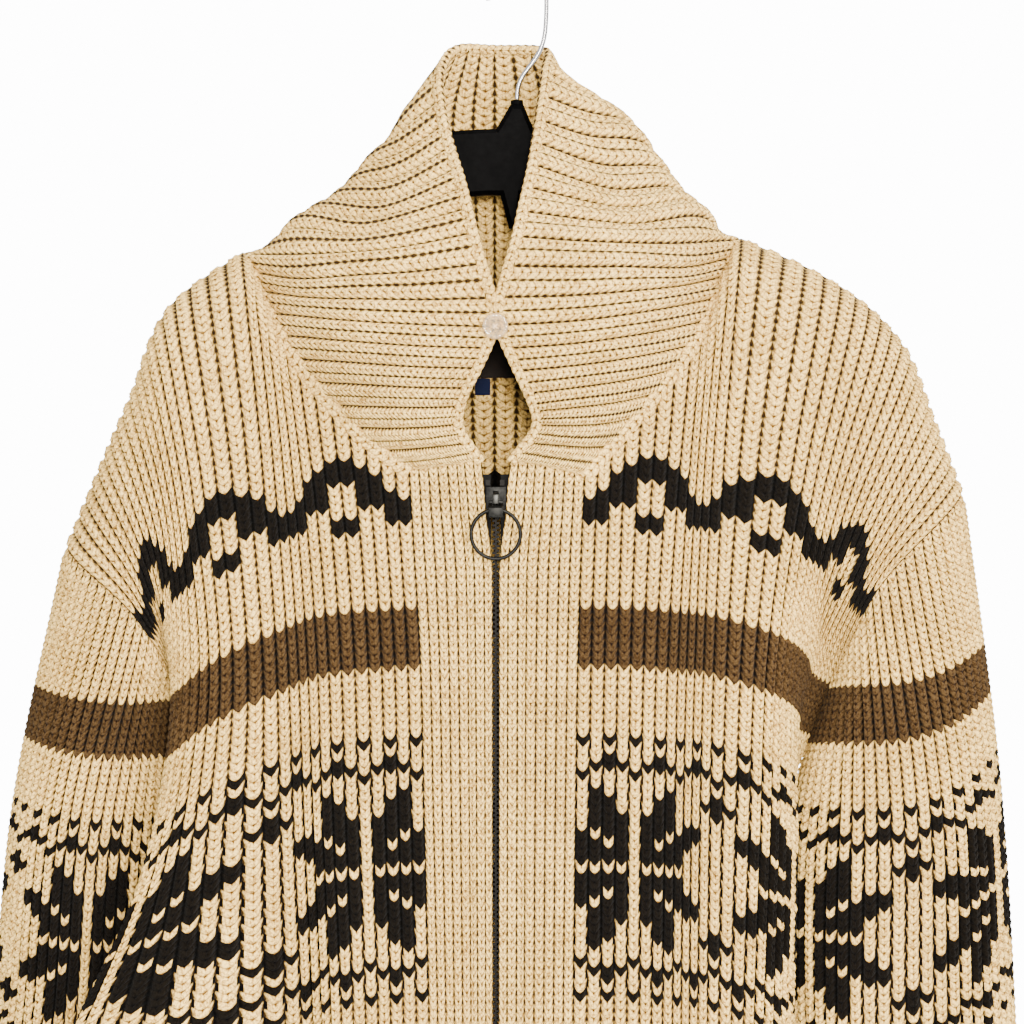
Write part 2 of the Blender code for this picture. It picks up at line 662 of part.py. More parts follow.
def band_edge(z):
    rows = table(BAND_COLUMNS, BAND_TABLE)
    heights = [row["z"] for row in rows][::-1]
    return np.interp(z, heights, [row["from_zip"] for row in rows][::-1])


def band_shares():
    """Columns across a band: fine ribs beside the front, then a smooth stretch beside the zip."""
    ribbed = np.linspace(0, 0.66, 2 * BAND_RIBS + 1)
    return np.concatenate((ribbed, (0.83, 1.0)))


def build_band(name, body, collar_rows, side):
    """A front band between the front's edge and the zip, its top following the collar's end."""
    front_edge = body.grid[side][0 if side == "right" else -1]
    facing = 1 if side == "right" else -1
    shares = band_shares()
    zip_edge = front_edge.copy()
    zip_edge[:, 0] = ZIP_X + facing * band_edge(front_edge[:, 2])
    grid = front_edge[None] + shares[:, None, None] * (zip_edge - front_edge)[None]
    collar_end = collar_rows[0 if side == "right" else -1]
    order = np.argsort(collar_end[:, 0])
    top = grid[:, -1]
    for axis in (1, 2):
        top[:, axis] = np.interp(top[:, 0], collar_end[order, 0], collar_end[order, axis])
    top[:, 2] -= BAND_TOP_GAP
    grid[0, :, 0] -= facing * SEAM_GAP / 2
    height = relief(len(shares), grid.shape[1], flat_rows=(grid.shape[1] - 1,))
    outer = grid + np.array((0, -1.0, 0)) * height
    inner = (grid + np.array((0, WALL_INSIDE, 0)))[::4]
    if facing == 1:
        outer, inner = outer[::-1], inner[::-1]
    return wall(name, outer, inner, CREAM)


def bar(name, centres, half_width, half_depth, colour, roughness, metallic=0.0):
    """A flat strip of rectangular section along stations that run downwards."""
    corners = ((-1, -1), (1, -1), (1, 1), (-1, 1))
    vertices = [
        (x + u * half_width, y + v * half_depth, z) for x, y, z in centres for u, v in corners
    ]
    faces = [(0, 1, 2, 3)]
    last = 4 * (len(centres) - 1)
    for start in range(0, last, 4):
        for k in range(4):
            n = (k + 1) % 4
            faces.append((start + k, start + 4 + k, start + 4 + n, start + n))
    faces.append((last + 3, last + 2, last + 1, last))
    return make_object(name, np.array(vertices) * MM, faces, colour, roughness, metallic, smooth=False)


def build_zip(body):
    """Two tapes and a closed chain behind the bands; returns the chain's depth by height."""
    edge = body.grid["right"][0]
    heights, depths = edge[::-1, 2], edge[::-1, 1]

    def chain_y(z):
        return float(np.interp(z, heights[::-1], depths[::-1])) + CHAIN_BEHIND_BAND

    stations = [z for z in edge[::-1, 2] if z < SLIDER_TOP_Z - 10]
    chain = [SLIDER_TOP_Z - 5.0] + stations
    tape = [TAPE_TOP_Z, SLIDER_TOP_Z - 5.0] + stations
    places = [(ZIP_X, chain_y(z), z) for z in chain]
    bar("zip_chain", places, CHAIN_WIDTH / 2, CHAIN_DEPTH / 2, GUNMETAL, 0.4, 0.8)
    reach = CHAIN_WIDTH / 2 + SEAM_GAP + TAPE_WIDTH / 2
    for side, facing in (("left", -1), ("right", 1)):
        places = [(ZIP_X + facing * reach, chain_y(z), z) for z in tape]
        bar(f"zip_tape_{side}", places, TAPE_WIDTH / 2, TAPE_THICK / 2, BLACK, 0.9)
    return chain_y


def box_mesh(builder, low, high):
    low, high = Vector(low), Vector(high)
    made = bmesh.ops.create_cube(builder, size=1.0)
    for vertex in made["verts"]:
        vertex.co = Vector(a + (b - a) * (c + 0.5) for a, b, c in zip(low, high, vertex.co))


def object_from(builder, name, origin=(0, 0, 0)):
    """Closes a bmesh made in millimetres about an origin into an object placed there."""
    bmesh.ops.scale(builder, vec=(MM, MM, MM), verts=builder.verts)
    mesh = bpy.data.meshes.new(name)
    builder.to_mesh(mesh)
    builder.free()
    obj = bpy.data.objects.new(name, mesh)
    bpy.context.collection.objects.link(obj)
    obj.location = Vector(origin) * MM
    return obj


def profile_prism(name, outline, low_x, high_x, origin=(0, 0, 0)):
    """A prism along X from an outline in Y and Z."""
    builder = bmesh.new()
    near = [builder.verts.new((low_x, y, z)) for y, z in outline]
    face = builder.faces.new(near)
    made = bmesh.ops.extrude_face_region(builder, geom=[face])
    moved = [item for item in made["geom"] if isinstance(item, bmesh.types.BMVert)]
    bmesh.ops.translate(builder, vec=(high_x - low_x, 0, 0), verts=moved)
    bmesh.ops.recalc_face_normals(builder, faces=builder.faces)
    return object_from(builder, name, origin)


def combine(obj, other, operation):
    """Joins or cuts a piece with a helper that is not built itself."""
    other.hide_render = True
    other.display_type = "WIRE"
    modifier = obj.modifiers.new(operation.lower(), "BOOLEAN")
    modifier.operation = operation
    modifier.object = other


def build_slider(chain_y):
    """Front and back plates joined by a post above the chain, with a crown that holds the pull."""
    y = chain_y(SLIDER_TOP_Z - SLIDER_HEIGHT / 2)
    clear = CHAIN_DEPTH / 2 + SEAM_GAP + 0.2
    front, back = y - clear - PLATE_THICK, y + clear + PLATE_THICK
    low = SLIDER_TOP_Z - SLIDER_HEIGHT
    post = SLIDER_TOP_Z - 3.0
    outline = (
        (front, SLIDER_TOP_Z), (front, low), (front + PLATE_THICK, low), (front + PLATE_THICK, post),
        (back - PLATE_THICK, post), (back - PLATE_THICK, low), (back, low), (back, SLIDER_TOP_Z),
    )
    half = SLIDER_WIDTH / 2
    slider = profile_prism("zip_slider", outline, ZIP_X - half, ZIP_X + half)
    notch = bmesh.new()
    for facing in (-1, 1):
        inner, outer = sorted((ZIP_X + facing * POST_HALF_WIDTH, ZIP_X + facing * (half + 1)))
        box_mesh(notch, (inner, front + PLATE_THICK, post - 1), (outer, back - PLATE_THICK, SLIDER_TOP_Z + 1))
    combine(slider, object_from(notch, "slider_notches"), "DIFFERENCE")
    crown_y = front - CROWN_STANDS
    foot = LINK_PIVOT_Z - 0.9
    crown = (
        (front + 0.3, CROWN_TOP_Z), (crown_y, CROWN_TOP_Z - 2.0),
        (crown_y, foot - 0.6), (front + 0.3, foot - 1.6),
        (front + 0.3, foot - 0.4), (crown_y + CROWN_THICK, foot),
        (crown_y + CROWN_THICK, CROWN_TOP_Z - 2.4), (front + 0.3, CROWN_TOP_Z - 1.6),
    )
    arch = profile_prism("slider_crown", crown, ZIP_X - CROWN_WIDTH / 2, ZIP_X + CROWN_WIDTH / 2)
    combine(slider, arch, "UNION")
    finish_object(slider, GUNMETAL, 0.35, 0.9, smooth=False)
    return front


def circle(centre, radius, count, start=0.0):
    turns = [start + 2 * math.pi * k / count for k in range(count)]
    return [(centre[0] + radius * math.cos(a), centre[1] + radius * math.sin(a)) for a in turns]


def build_pull(front):
    """The folded link under the crown and the ring in its tunnel, each about its own pivot."""
    pivot = (ZIP_X, front - LINK_STANDS, LINK_PIVOT_Z)
    sag = RING_RADIUS - math.sqrt(RING_RADIUS**2 - (LINK_WIDTH / 2) ** 2)
    ring_pivot = (ZIP_X, front - RING_STANDS, RING_TOP_Z - sag / 2)
    dy, dz = ring_pivot[1] - pivot[1], ring_pivot[2] - pivot[2]
    half = LINK_WIDTH / 2
    outline = (
        (dy - 2.4, dz - 4.2), (dy - 2.4, dz + 1.2), (dy - 1.4, dz + 2.3), (dy + 0.4, dz + 2.4),
        (-0.7, -0.9), (-0.65, 0.4), (0.0, 0.7), (0.6, 0.4), (0.7, -0.9), (dy + 2.4, dz + 0.2),
        (dy + 2.3, dz - 1.2), (dy + 1.0, dz - 2.4), (dy - 1.2, dz - 2.6), (dy - 1.6, dz - 4.2),
    )
    link = profile_prism("pull_link", outline, -half, half, pivot)
    tunnel = profile_prism("link_tunnel", circle((dy, dz), TUNNEL_RADIUS, 16), -half - 1, half + 1, pivot)
    combine(link, tunnel, "DIFFERENCE")
    window = bmesh.new()
    box_mesh(window, (-CROWN_WIDTH / 2 - 0.4, -3.3, -3.2), (CROWN_WIDTH / 2 + 0.4, 3.0, -0.62))
    combine(link, object_from(window, "link_window", pivot), "DIFFERENCE")
    finish_object(link, GUNMETAL, 0.35, 0.9, smooth=False)
    builder = bmesh.new()
    sides, turns = 8, 32
    wire = [builder.verts.new((0, y, z)) for y, z in circle((0, sag / 2), RING_WIRE, sides)]
    edges = [builder.edges.new((wire[k], wire[(k + 1) % sides])) for k in range(sides)]
    centre = (0, 0, sag / 2 - RING_RADIUS)
    bmesh.ops.spin(
        builder, geom=wire + edges, cent=centre, axis=(0, 1, 0), angle=2 * math.pi,
        steps=turns, use_merge=True,
    )
    bmesh.ops.remove_doubles(builder, verts=builder.verts, dist=0.001)
    bmesh.ops.recalc_face_normals(builder, faces=builder.faces)
    ring = object_from(builder, "pull_ring", ring_pivot)
    finish_object(ring, GUNMETAL, 0.3, 0.9)


def build_button(collar_rows):
    """A turned disc on the meeting edges of the collar."""
    column = int(BUTTON_RIB * 2)
    edge = collar_rows[-1 - column, -1]
    builder = bmesh.new()
    profile = [builder.verts.new((r, y, 0)) for r, y in BUTTON_PROFILE]
    edges = [builder.edges.new(pair) for pair in zip(profile, profile[1:])]
    bmesh.ops.spin(
        builder, geom=profile + edges, cent=(0, 0, 0), axis=(0, 1, 0), angle=2 * math.pi,
        steps=24, use_merge=True,
    )
    bmesh.ops.remove_doubles(builder, verts=builder.verts, dist=0.001)
    bmesh.ops.recalc_face_normals(builder, faces=builder.faces)
    place = (ZIP_X - 0.3, edge[1] - RIB_RIDGE, edge[2])
    finish_object(object_from(builder, "button", place), CLEAR_WHITE, 0.2)


def build_patch(name, panel, patch, colour):
    """A label lying on the back's inner face."""
    ribs = panel[::-4]
    xs = np.linspace(patch["x"] - patch["width"] / 2, patch["x"] + patch["width"] / 2, 5)
    zs = np.linspace(patch["lower"], patch["upper"], 4)
    grid = np.zeros((len(xs), len(zs), 3))
    for row, z in enumerate(zs):
        level = np.array([[np.interp(z, rib[:, 2], rib[:, axis]) for axis in range(3)] for rib in ribs])
        grid[:, row] = [(x, np.interp(x, level[:, 0], level[:, 1]), z) for x in xs]
    grid[..., 1] -= WALL_INSIDE + 2 * SEAM_GAP
    outer = grid - np.array((0, PATCH_THICK, 0))
    return wall(name, outer, grid[::4], colour)


def build_hanger():
    """Neck, plate and arms as one moulded outline, with a small clip below the middle."""
    rows = table(HANGER_COLUMNS, HANGER_TABLE)
    upper = [(row["x"], row["upper"]) for row in rows]
    lower = [(row["x"], row["lower"]) for row in rows]
    left = [point for point in upper if point[0] < NECK_OF_HANGER[0][0]]
    right = [point for point in upper if point[0] > NECK_OF_HANGER[-1][0]]
    outline = left + list(NECK_OF_HANGER) + right + lower[::-1]
    builder = bmesh.new()
    half = HANGER_THICK / 2
    near = [builder.verts.new((x, -half, z)) for x, z in outline]
    face = builder.faces.new(near)
    made = bmesh.ops.extrude_face_region(builder, geom=[face])
    moved = [item for item in made["geom"] if isinstance(item, bmesh.types.BMVert)]
    bmesh.ops.translate(builder, vec=(0, HANGER_THICK, 0), verts=moved)
    bmesh.ops.recalc_face_normals(builder, faces=builder.faces)
    rims = [edge for edge in builder.edges if abs(edge.verts[0].co.y - edge.verts[1].co.y) < 1e-6]
    bmesh.ops.bevel(
        builder, geom=rims, offset=HANGER_EDGE, segments=1, profile=0.5, affect="EDGES", material=-1
    )
    hanger = object_from(builder, "hanger")
    finish_object(hanger, BLACK, 0.4)
    ferrule = bmesh.new()
    bmesh.ops.create_cone(
        ferrule, cap_ends=True, segments=16, radius1=FERRULE_RADIUS, radius2=FERRULE_RADIUS,
        depth=FERRULE_LENGTH,
    )
    place = (0, 0, FERRULE_LOW_Z + FERRULE_LENGTH / 2)
    finish_object(object_from(ferrule, "hook_ferrule", place), BLACK, 0.4)


def build_hook():
    """The wire hook: an arch over the rod, then a stem that swings back over the hanger's middle."""
    centre_z = HOOK_WIRE - HOOK_ARCH
    turns = np.radians(np.linspace(HOOK_TIP_TURN, 0, 15))
    arch = [(HOOK_ARCH * math.cos(a), centre_z + HOOK_ARCH * math.sin(a)) for a in turns]
    curve = bpy.data.curves.new("hook", "CURVE")
    curve.dimensions = "3D"
    curve.bevel_depth = HOOK_WIRE * MM
    curve.bevel_resolution = 2
    curve.use_fill_caps = True
    spline = curve.splines.new("POLY")
    places = arch + list(HOOK_STEM)
    spline.points.add(len(places) - 1)
    for point, (x, z) in zip(spline.points, places):
        point.co = (x * MM, 0, z * MM, 1)
    hook = bpy.data.objects.new("hook", curve)
    bpy.context.collection.objects.link(hook)
    finish_hook(hook)


def finish_hook(hook):
    material = bpy.data.materials.new("hook")
    material.use_nodes = True
    shader = material.node_tree.nodes["Principled BSDF"]
    shader.inputs["Base Color"].default_value = (*STEEL, 1.0)
    shader.inputs["Roughness"].default_value = 0.25
    shader.inputs["Metallic"].default_value = 1.0
    hook.data.materials.append(material)


def main():
    for obj in list(bpy.data.objects):
        bpy.data.objects.remove(obj, do_unlink=True)
    body = Body()
    body.build("front_left", "left")
    body.build("front_right", "right")
    body.build("back", "back")
    build_sleeve("sleeve_left", body, "left", SLEEVE_LEFT_TABLE)
    build_sleeve("sleeve_right", body, "right", SLEEVE_RIGHT_TABLE)
    collar_rows, collar_normals = collar_grid(body)
    build_collar(collar_rows, collar_normals)
    build_band("band_left", body, collar_rows, "left")
    build_band("band_right", body, collar_rows, "right")
    chain_y = build_zip(body)
    front = build_slider(chain_y)
    build_pull(front)
    build_button(collar_rows)
    build_patch("neck_label", body.grid["back"], LABEL, DARK_BROWN)
    build_patch("label_tab", body.grid["back"], LABEL_TAB, NAVY)
    build_hanger()
    build_hook()


main()
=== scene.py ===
import math

import bmesh
import bpy
import numpy as np
from mathutils import Matrix, Vector


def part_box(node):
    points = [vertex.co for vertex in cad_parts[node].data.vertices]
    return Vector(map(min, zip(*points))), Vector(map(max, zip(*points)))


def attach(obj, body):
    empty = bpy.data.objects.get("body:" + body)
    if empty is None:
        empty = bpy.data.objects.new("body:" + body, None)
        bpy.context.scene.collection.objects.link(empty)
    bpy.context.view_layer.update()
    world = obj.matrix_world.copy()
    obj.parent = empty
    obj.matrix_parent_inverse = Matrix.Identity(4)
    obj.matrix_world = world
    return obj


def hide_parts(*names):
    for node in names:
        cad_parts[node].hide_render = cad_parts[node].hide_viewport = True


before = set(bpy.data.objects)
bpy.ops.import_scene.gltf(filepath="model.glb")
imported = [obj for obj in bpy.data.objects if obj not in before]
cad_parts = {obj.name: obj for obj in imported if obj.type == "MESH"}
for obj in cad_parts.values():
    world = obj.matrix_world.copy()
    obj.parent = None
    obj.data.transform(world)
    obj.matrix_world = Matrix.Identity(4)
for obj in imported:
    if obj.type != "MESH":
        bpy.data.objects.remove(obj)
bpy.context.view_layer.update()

mm = 0.001  # every table below is in millimetres
print("frame loaded")

# Levels of the body: cloth length from the hem, and the height where each hangs.
levels = {
    "low": 243.0, "waist": 370.0, "chest": 462.0,
    "hemZ": -850.0, "lowZ": -607.0, "waistZ": -480.0, "chestZ": -388.0,
}
ribs = {"front": 32, "neck": 12, "sleeve": 48, "collar": 40, "band": 5}
shoulder = {"half": 9.5, "drop": 3.0, "turnIn": 0.6}
# A knitted wall: a stitch is one row high, slant and vee shape its V, and ribs fade below a seam.
wall = {"inside": 2.0, "stitch": 4.8, "slant": 0.9, "vee": 1.4, "ease": 4.0, "bulge": 0.35, "fade": 7.0}
zipX = -12.0

# One row for each guide rib, from the band to the side seam.
frontColumns = ("rib", "top", "yoke", "chest", "waist", "low", "hem", "droop")
frontRightTable = (
    (0.0, (38, -46, -295), (36, -48, -342), (34.5, -50), (33, -51), (31.5, -52), (31, -50), 0),
    (3.4, (65, -42, -264), (62, -48, -327), (60, -51), (58.5, -52), (57.5, -53), (57, -50), 0),
    (7.0, (99, -31, -221), (91, -44, -306), (85.5, -52), (83.5, -53), (82, -54), (83, -51), 2),
    (12.0, (129, 0, -157), (118, -38, -279), (111.5, -52), (109, -52), (107.5, -53), (109, -50), 5),
    (16.0, (177, 0, -179), (156, -36, -293), (141.5, -46), (138, -47), (134, -48), (140, -47), 14),
    (22.0, (221, 0, -217), (185, -33, -318), (160, -24), (158, -25), (155, -29), (164, -30), 26),
    (27.0, (239, 0, -260), (197, -38, -341), (163, -9), (146, -11), (131, -13), (146, -13), 36),
    (32.0, (255, 0, -302), (206, -38, -357), (175, 4), (136, 4), (114, 4), (130, 4), 42),
)
frontLeftTable = (
    (0.0, (-61, -46, -292), (-58, -48, -340), (-55, -50), (-52.5, -51), (-49.5, -52), (-49, -50), 0),
    (3.4, (-90, -42, -270), (-84, -48, -329), (-80, -51), (-77.5, -52), (-74, -53), (-74, -50), 1),
    (7.0, (-125, -31, -229), (-114, -44, -310), (-107, -52), (-104, -53), (-99, -53), (-101, -50), 3),
    (12.0, (-158, 0, -165), (-145, -38, -285), (-136, -52), (-134, -49), (-131, -44), (-134, -42), 8),
    (16.0, (-197, 0, -193), (-178, -40, -303), (-168, -50), (-175, -54), (-186, -57), (-190, -53), 18),
    (22.0, (-222, 0, -248), (-200, -40, -332), (-194, -36), (-209, -46), (-262, -46), (-270, -44), 34),
    (27.0, (-240, 0, -290), (-211, -40, -352), (-192, -15), (-195, -32), (-226, -33), (-232, -31), 40),
    (32.0, (-258, 0, -333), (-217, -40, -374), (-190, 4), (-178, -10), (-182, -14), (-190, -12), 43),
)
backLeftTable = (
    (-27.0, (-240, 0, -290), (-211, 40, -346), (-182, 24), (-172, 12), (-174, 8), (-180, 9), 40),
    (-22.0, (-222, 0, -248), (-198, 38, -326), (-173, 42), (-168, 36), (-166, 32), (-172, 33), 32),
    (-16.0, (-197, 0, -193), (-172, 36, -300), (-150, 50), (-147, 50), (-145, 50), (-150, 49), 18),
    (-12.0, (-158, 0, -165), (-138, 38, -285), (-115, 50), (-112, 50), (-111, 49), (-116, 48), 8),
    (-5.0, (-85, 29, -187), (-72, 44, -288), (-60, 51), (-58, 51), (-57, 50), (-60, 49), 2),
    (0.0, (-13, 34, -191), (-13, 46, -290), (-12, 51), (-12, 50), (-12, 49), (-12, 48), 0),
)
backRightTable = (
    (5.0, (58, 29, -184), (46, 44, -286), (36, 51), (34, 51), (33, 50), (36, 49), 1),
    (12.0, (129, 0, -157), (112, 38, -279), (91, 50), (88, 50), (87, 49), (92, 48), 5),
    (16.0, (177, 0, -179), (151, 36, -293), (126, 50), (122, 50), (120, 50), (126, 49), 14),
    (22.0, (221, 0, -217), (182, 36, -316), (152, 40), (146, 38), (142, 38), (150, 38), 26),
    (27.0, (239, 0, -260), (198, 38, -336), (161, 22), (146, 20), (129, 20), (144, 20), 36),
)
armholeBackYoke = {"left": (-219, 42, -374), "right": (208, 40, -357)}

sleeveColumns = ("x", "y", "z", "halfWidth", "halfDepth")
sleeveRightTable = (
    (219, 1, -478, 58, 44.5),
    (221, 2, -607, 64, 40),
    (228, 4, -750, 62, 38),
    (233, 6, -885, 57, 35),
)
sleeveLeftTable = (
    (-244, 24, -492, 48, 42),
    (-254, 36, -607, 50, 42),
    (-272, 38, -750, 51, 41),
    (-284, 38, -890, 45, 37),
)

# Guide ribs of the collar: place, then its point on the neckline, at both thirds, and at the free edge.
collarLeftTable = (
    (0.0, (-61, -46, -291), (-47, -48, -290), (-33, -48, -288), (-20.5, -47, -286)),
    (1.8, (-90, -42, -270), (-70, -52, -270), (-51, -55, -269), (-33, -50, -267)),
    (3.5, (-112, -38, -248), (-85, -53, -249), (-58, -60, -250), (-31, -54, -250)),
    (5.3, (-130, -28, -222), (-94, -53, -226), (-57, -62, -229), (-21, -57, -230)),
    (7.2, (-144, -15, -197), (-100, -50, -203), (-55, -61, -206), (-13, -58, -207)),
    (10.0, (-158, 0, -165), (-118, -33, -167), (-70, -49, -165), (-25, -47, -156)),
    (11.3, (-145, 12, -171), (-134, -4, -151), (-85, -32, -153), (-29, -40, -138)),
    (12.6, (-125, 20, -177), (-119, 2, -141), (-74, -24, -140), (-33, -32, -123)),
    (13.9, (-105, 25, -182), (-102, 5, -129), (-70, -13, -124), (-38, -24, -107)),
    (15.4, (-84, 29, -187), (-86, 9, -111), (-66, -4, -102), (-43, -14, -87)),
    (17.0, (-60, 31, -189), (-70, 20, -100), (-62, 9, -80), (-45, 2, -62)),
    (18.6, (-36, 33, -190), (-44, 34, -130), (-46, 31, -80), (-35, 22, -46)),
    (20.0, (-13, 34, -191), (-13, 40, -142), (-13, 42, -93), (-13, 34, -45)),
)
collarRightTable = (
    (0.0, (38, -46, -294), (24, -48, -291), (10, -48, -288), (-3.5, -47, -286)),
    (1.8, (65, -42, -266), (47, -52, -268), (29, -55, -268), (11, -50, -267)),
    (3.5, (87, -38, -243), (62, -53, -247), (36, -60, -250), (9, -54, -253)),
    (5.3, (105, -28, -216), (70, -53, -223), (34, -62, -228), (-1, -57, -231)),
    (7.2, (118, -15, -189), (76, -50, -198), (32, -61, -204), (-10.5, -58, -206)),
    (10.0, (129, 0, -157), (92, -35, -161), (45, -50, -161), (0, -47, -158)),
    (11.3, (122, 12, -165), (113, -4, -145), (62, -33, -147), (4, -40, -139)),
    (12.6, (105, 20, -172), (100, 3, -135), (54, -24, -134), (8, -32, -121)),
    (13.9, (86, 25, -178), (86, 5, -118), (48, -13, -116), (11, -24, -104)),
    (15.4, (64, 29, -183), (68, 9, -94), (42, -3, -92), (14, -14, -84)),
    (17.0, (40, 31, -187), (50, 19, -76), (36, 10, -70), (17, 2, -60)),
    (18.6, (14, 33, -190), (24, 34, -118), (25, 31, -75), (16, 22, -47)),
)

bandTable = (  # z, and the zip edge from the middle line of the zip
    (-289, 8.0), (-300, 6.6), (-317, 5.4), (-331, 3.2), (-347, 1.9), (-607, 1.7), (-850, 1.7),
)

# Knitted repeats, one character for each rib and row: # is black, . is ground.
yokeChart = (
    "....##....",
    "...####...",
    "..######..",
    "..##..##..",
    ".###..###.",
    "####..####",
    "##......##",
    "##..##..##",
    "....##....",
)
starQuarter = (  # from the star's middle outwards, mirrored both ways
    ".........",
    ".####....",
    ".####....",
    ".#.###...",
    ".##.###..",
    ".###.##..",
    ".###.....",
    "..##....#",
    "..##...##",
    "...#....#",
    ".........",
    "#...#...#",
    ".###.###.",
    "..#...#..",
    ".........",
    "#.#.#.#.#",
)
yarns = {"ground": 0.0, "brown": 0.5, "black": 1.0}
bodyPlan = {"yoke": 109, "stripe": (93, 99), "star": 54}  # stitch rows from the hem
sleevePlan = {"yoke": None, "stripe": (91, 97), "star": 52}


def cubicWeights(knots, places):
    # weights of a smooth curve through values at knots: a row per place, a column per knot
    knots = np.asarray(knots, float)
    places = np.asarray(places, float).ravel()
    count = len(knots)
    values = np.eye(count)
    steps = np.diff(knots)
    slopes = np.diff(values, axis=0) / steps[:, None]
    tangents = np.empty_like(values)
    tangents[0], tangents[-1] = slopes[0], slopes[-1]
    share = (steps[:-1] / (steps[:-1] + steps[1:]))[:, None]
    tangents[1:-1] = slopes[:-1] * (1 - share) + slopes[1:] * share
    cell = np.clip(np.searchsorted(knots, places, side="right") - 1, 0, count - 2)
    t = ((places - knots[cell]) / steps[cell])[:, None]
    step = steps[cell][:, None]
    start = (1 + 2 * t) * (1 - t) ** 2 * values[cell] + t * (1 - t) ** 2 * step * tangents[cell]
    end = t * t * (3 - 2 * t) * values[cell + 1] + t * t * (t - 1) * step * tangents[cell + 1]
    return start + end


def unit(vectors):
    return vectors / np.maximum(np.linalg.norm(vectors, axis=-1, keepdims=True), 1e-9)


def table(columns, rows):
    return [dict(zip(columns, row)) for row in rows]


def lengthsAlong(points):
    return np.concatenate(([0], np.cumsum(np.linalg.norm(np.diff(points, axis=0), axis=1))))


def along(line, values, shares):
    # values of a line's points at shares of its length
    length = lengthsAlong(line)
    return np.stack([np.interp(shares * length[-1], length, values[:, axis]) for axis in range(3)], axis=-1)


def readPanel(rows, facing):
    # guide ribs from the hem to the neckline or the shoulder
    guides = []
    for row in rows:
        places = [(*row[name], levels[name + "Z"] - row["droop"]) for name in ("low", "waist", "chest")]
        places = [(*row["hem"], levels["hemZ"] - row["droop"])] + places + [row["yoke"]]
        if abs(row["rib"]) >= ribs["neck"]:
            x, y, z = row["top"]
            inward = x - math.copysign(shoulder["turnIn"], x)
            places.append((inward, facing * shoulder["half"], z - shoulder["drop"]))
        points = np.array(places + [row["top"]], float)
        guides.append((lengthsAlong(points), points))
    return {
        "ribs": np.array([row["rib"] for row in rows]),
        "guides": guides,
        "upper": np.array([knots[-1] - knots[3] for knots, points in guides]),
        "tops": np.array([points[-1] for knots, points in guides]),
    }


def panelTop(panel, places):
    # cloth length from the hem to the top at each rib
    return levels["chest"] + cubicWeights(panel["ribs"], places) @ panel["upper"]


def panelTopLine(panel, places):
    line = np.zeros((places.size, 3))
    flat = places.ravel()
    corners = (-ribs["front"], -ribs["neck"], ribs["neck"], ribs["front"])
    for low, high in zip(corners, corners[1:]):
        held = (panel["ribs"] >= low) & (panel["ribs"] <= high)
        asked = (flat >= low) & (flat <= high)
        if held.sum() > 1 and asked.any():
            line[asked] = cubicWeights(panel["ribs"][held], flat[asked]) @ panel["tops"][held]
    return line.reshape(*places.shape, 3)


def panelPoints(panel, places, rows):
    # middle surface of the cloth at a grid of ribs and rows
    top = panelTop(panel, places).reshape(places.shape)
    above = (rows - levels["chest"]) / (top - levels["chest"])
    across = cubicWeights(panel["ribs"], places)
    points = np.zeros((places.size, 3))
    for column, (knots, guide) in enumerate(panel["guides"]):
        upper = knots[3] + above * (knots[-1] - knots[3])
        onGuide = np.where(rows > levels["chest"], upper, rows / levels["chest"] * knots[3])
        points += across[:, column, None] * (cubicWeights(knots, onGuide) @ guide)
    points = points.reshape(*places.shape, 3)
    loose = panelTopLine(panel, places) - (across @ panel["tops"]).reshape(points.shape)
    return points + loose * np.clip(above, 0, 1)[..., None] ** 3


def backRows():
    rows = list(backLeftTable) + list(backRightTable)
    for side, front, sign in (("left", frontLeftTable, -1), ("right", frontRightTable, 1)):
        rib, top, yoke, *rest = front[-1]
        rows.append((sign * rib, top, armholeBackYoke[side], *rest))
    return table(frontColumns, sorted(rows))


panels = {
    "left": readPanel(table(frontColumns, frontLeftTable), -1),
    "right": readPanel(table(frontColumns, frontRightTable), -1),
    "back": readPanel(backRows(), 1),
}


def sideSeam(side, rows):
    # the two panels meet half way between their own side lines
    sign = -1 if side == "left" else 1
    edge = np.full_like(rows, float(ribs["front"]))
    return panelPoints(panels[side], edge, rows), panelPoints(panels["back"], edge * sign, rows)


# Cross-section of a rib from valley to valley: place across it, and height outside and inside.
bodyRib = {
    "place": (0.0, 0.14, 0.30, 0.50, 0.70, 0.86),
    "out": (-1.3, 0.3, 2.5, 2.1, 2.5, 0.3),
    "in": (2.7, 2.3, 1.5, 1.1, 1.5, 2.3),
}
collarRib = {
    "place": (0.0, 0.09, 0.21, 0.33, 0.45, 0.56, 0.70, 0.86),
    "out": (-1.6, 1.0, 2.5, 2.0, 2.5, 1.2, 2.0, 1.0),
    "in": (3.0, 2.4, 1.6, 1.2, 1.6, 2.0, 1.6, 2.4),
}


def slantOf(place):
    # how far up the V of a stitch row each place of a rib lies
    return np.abs(2 * (place % 1.0) - 1) ** wall["vee"]


def ribColumns(count, section, start=0):
    # places of the columns in ribs, with their heights
    place = np.concatenate([np.array(section["place"]) + k for k in range(count)] + [[count]])
    heights = [np.concatenate([section[name]] * count + [section[name][:1]]) for name in ("out", "in")]
    return place + start, heights[0], heights[1], slantOf(place)


def fillForward(values):
    # rows cut short at the top take the direction of the last whole row below them
    size = np.linalg.norm(values, axis=-1)
    for row in range(1, values.shape[0]):
        short = size[row] < 1e-4
        values[row, short] = values[row - 1, short]
        size[row, short] = size[row - 1, short]
    return values


def clothNormals(points, closed=False):
    # outward normals of rows of points that run to the right, seen from outside, row above row
    if closed:
        wide = np.concatenate((points[:, -2:-1], points, points[:, 1:2]), axis=1)
        across = np.gradient(wide, axis=1)[:, 1:-1]
    else:
        across = np.gradient(points, axis=1)
    upward = fillForward(np.gradient(points, axis=0))
    return unit(np.cross(across, upward))


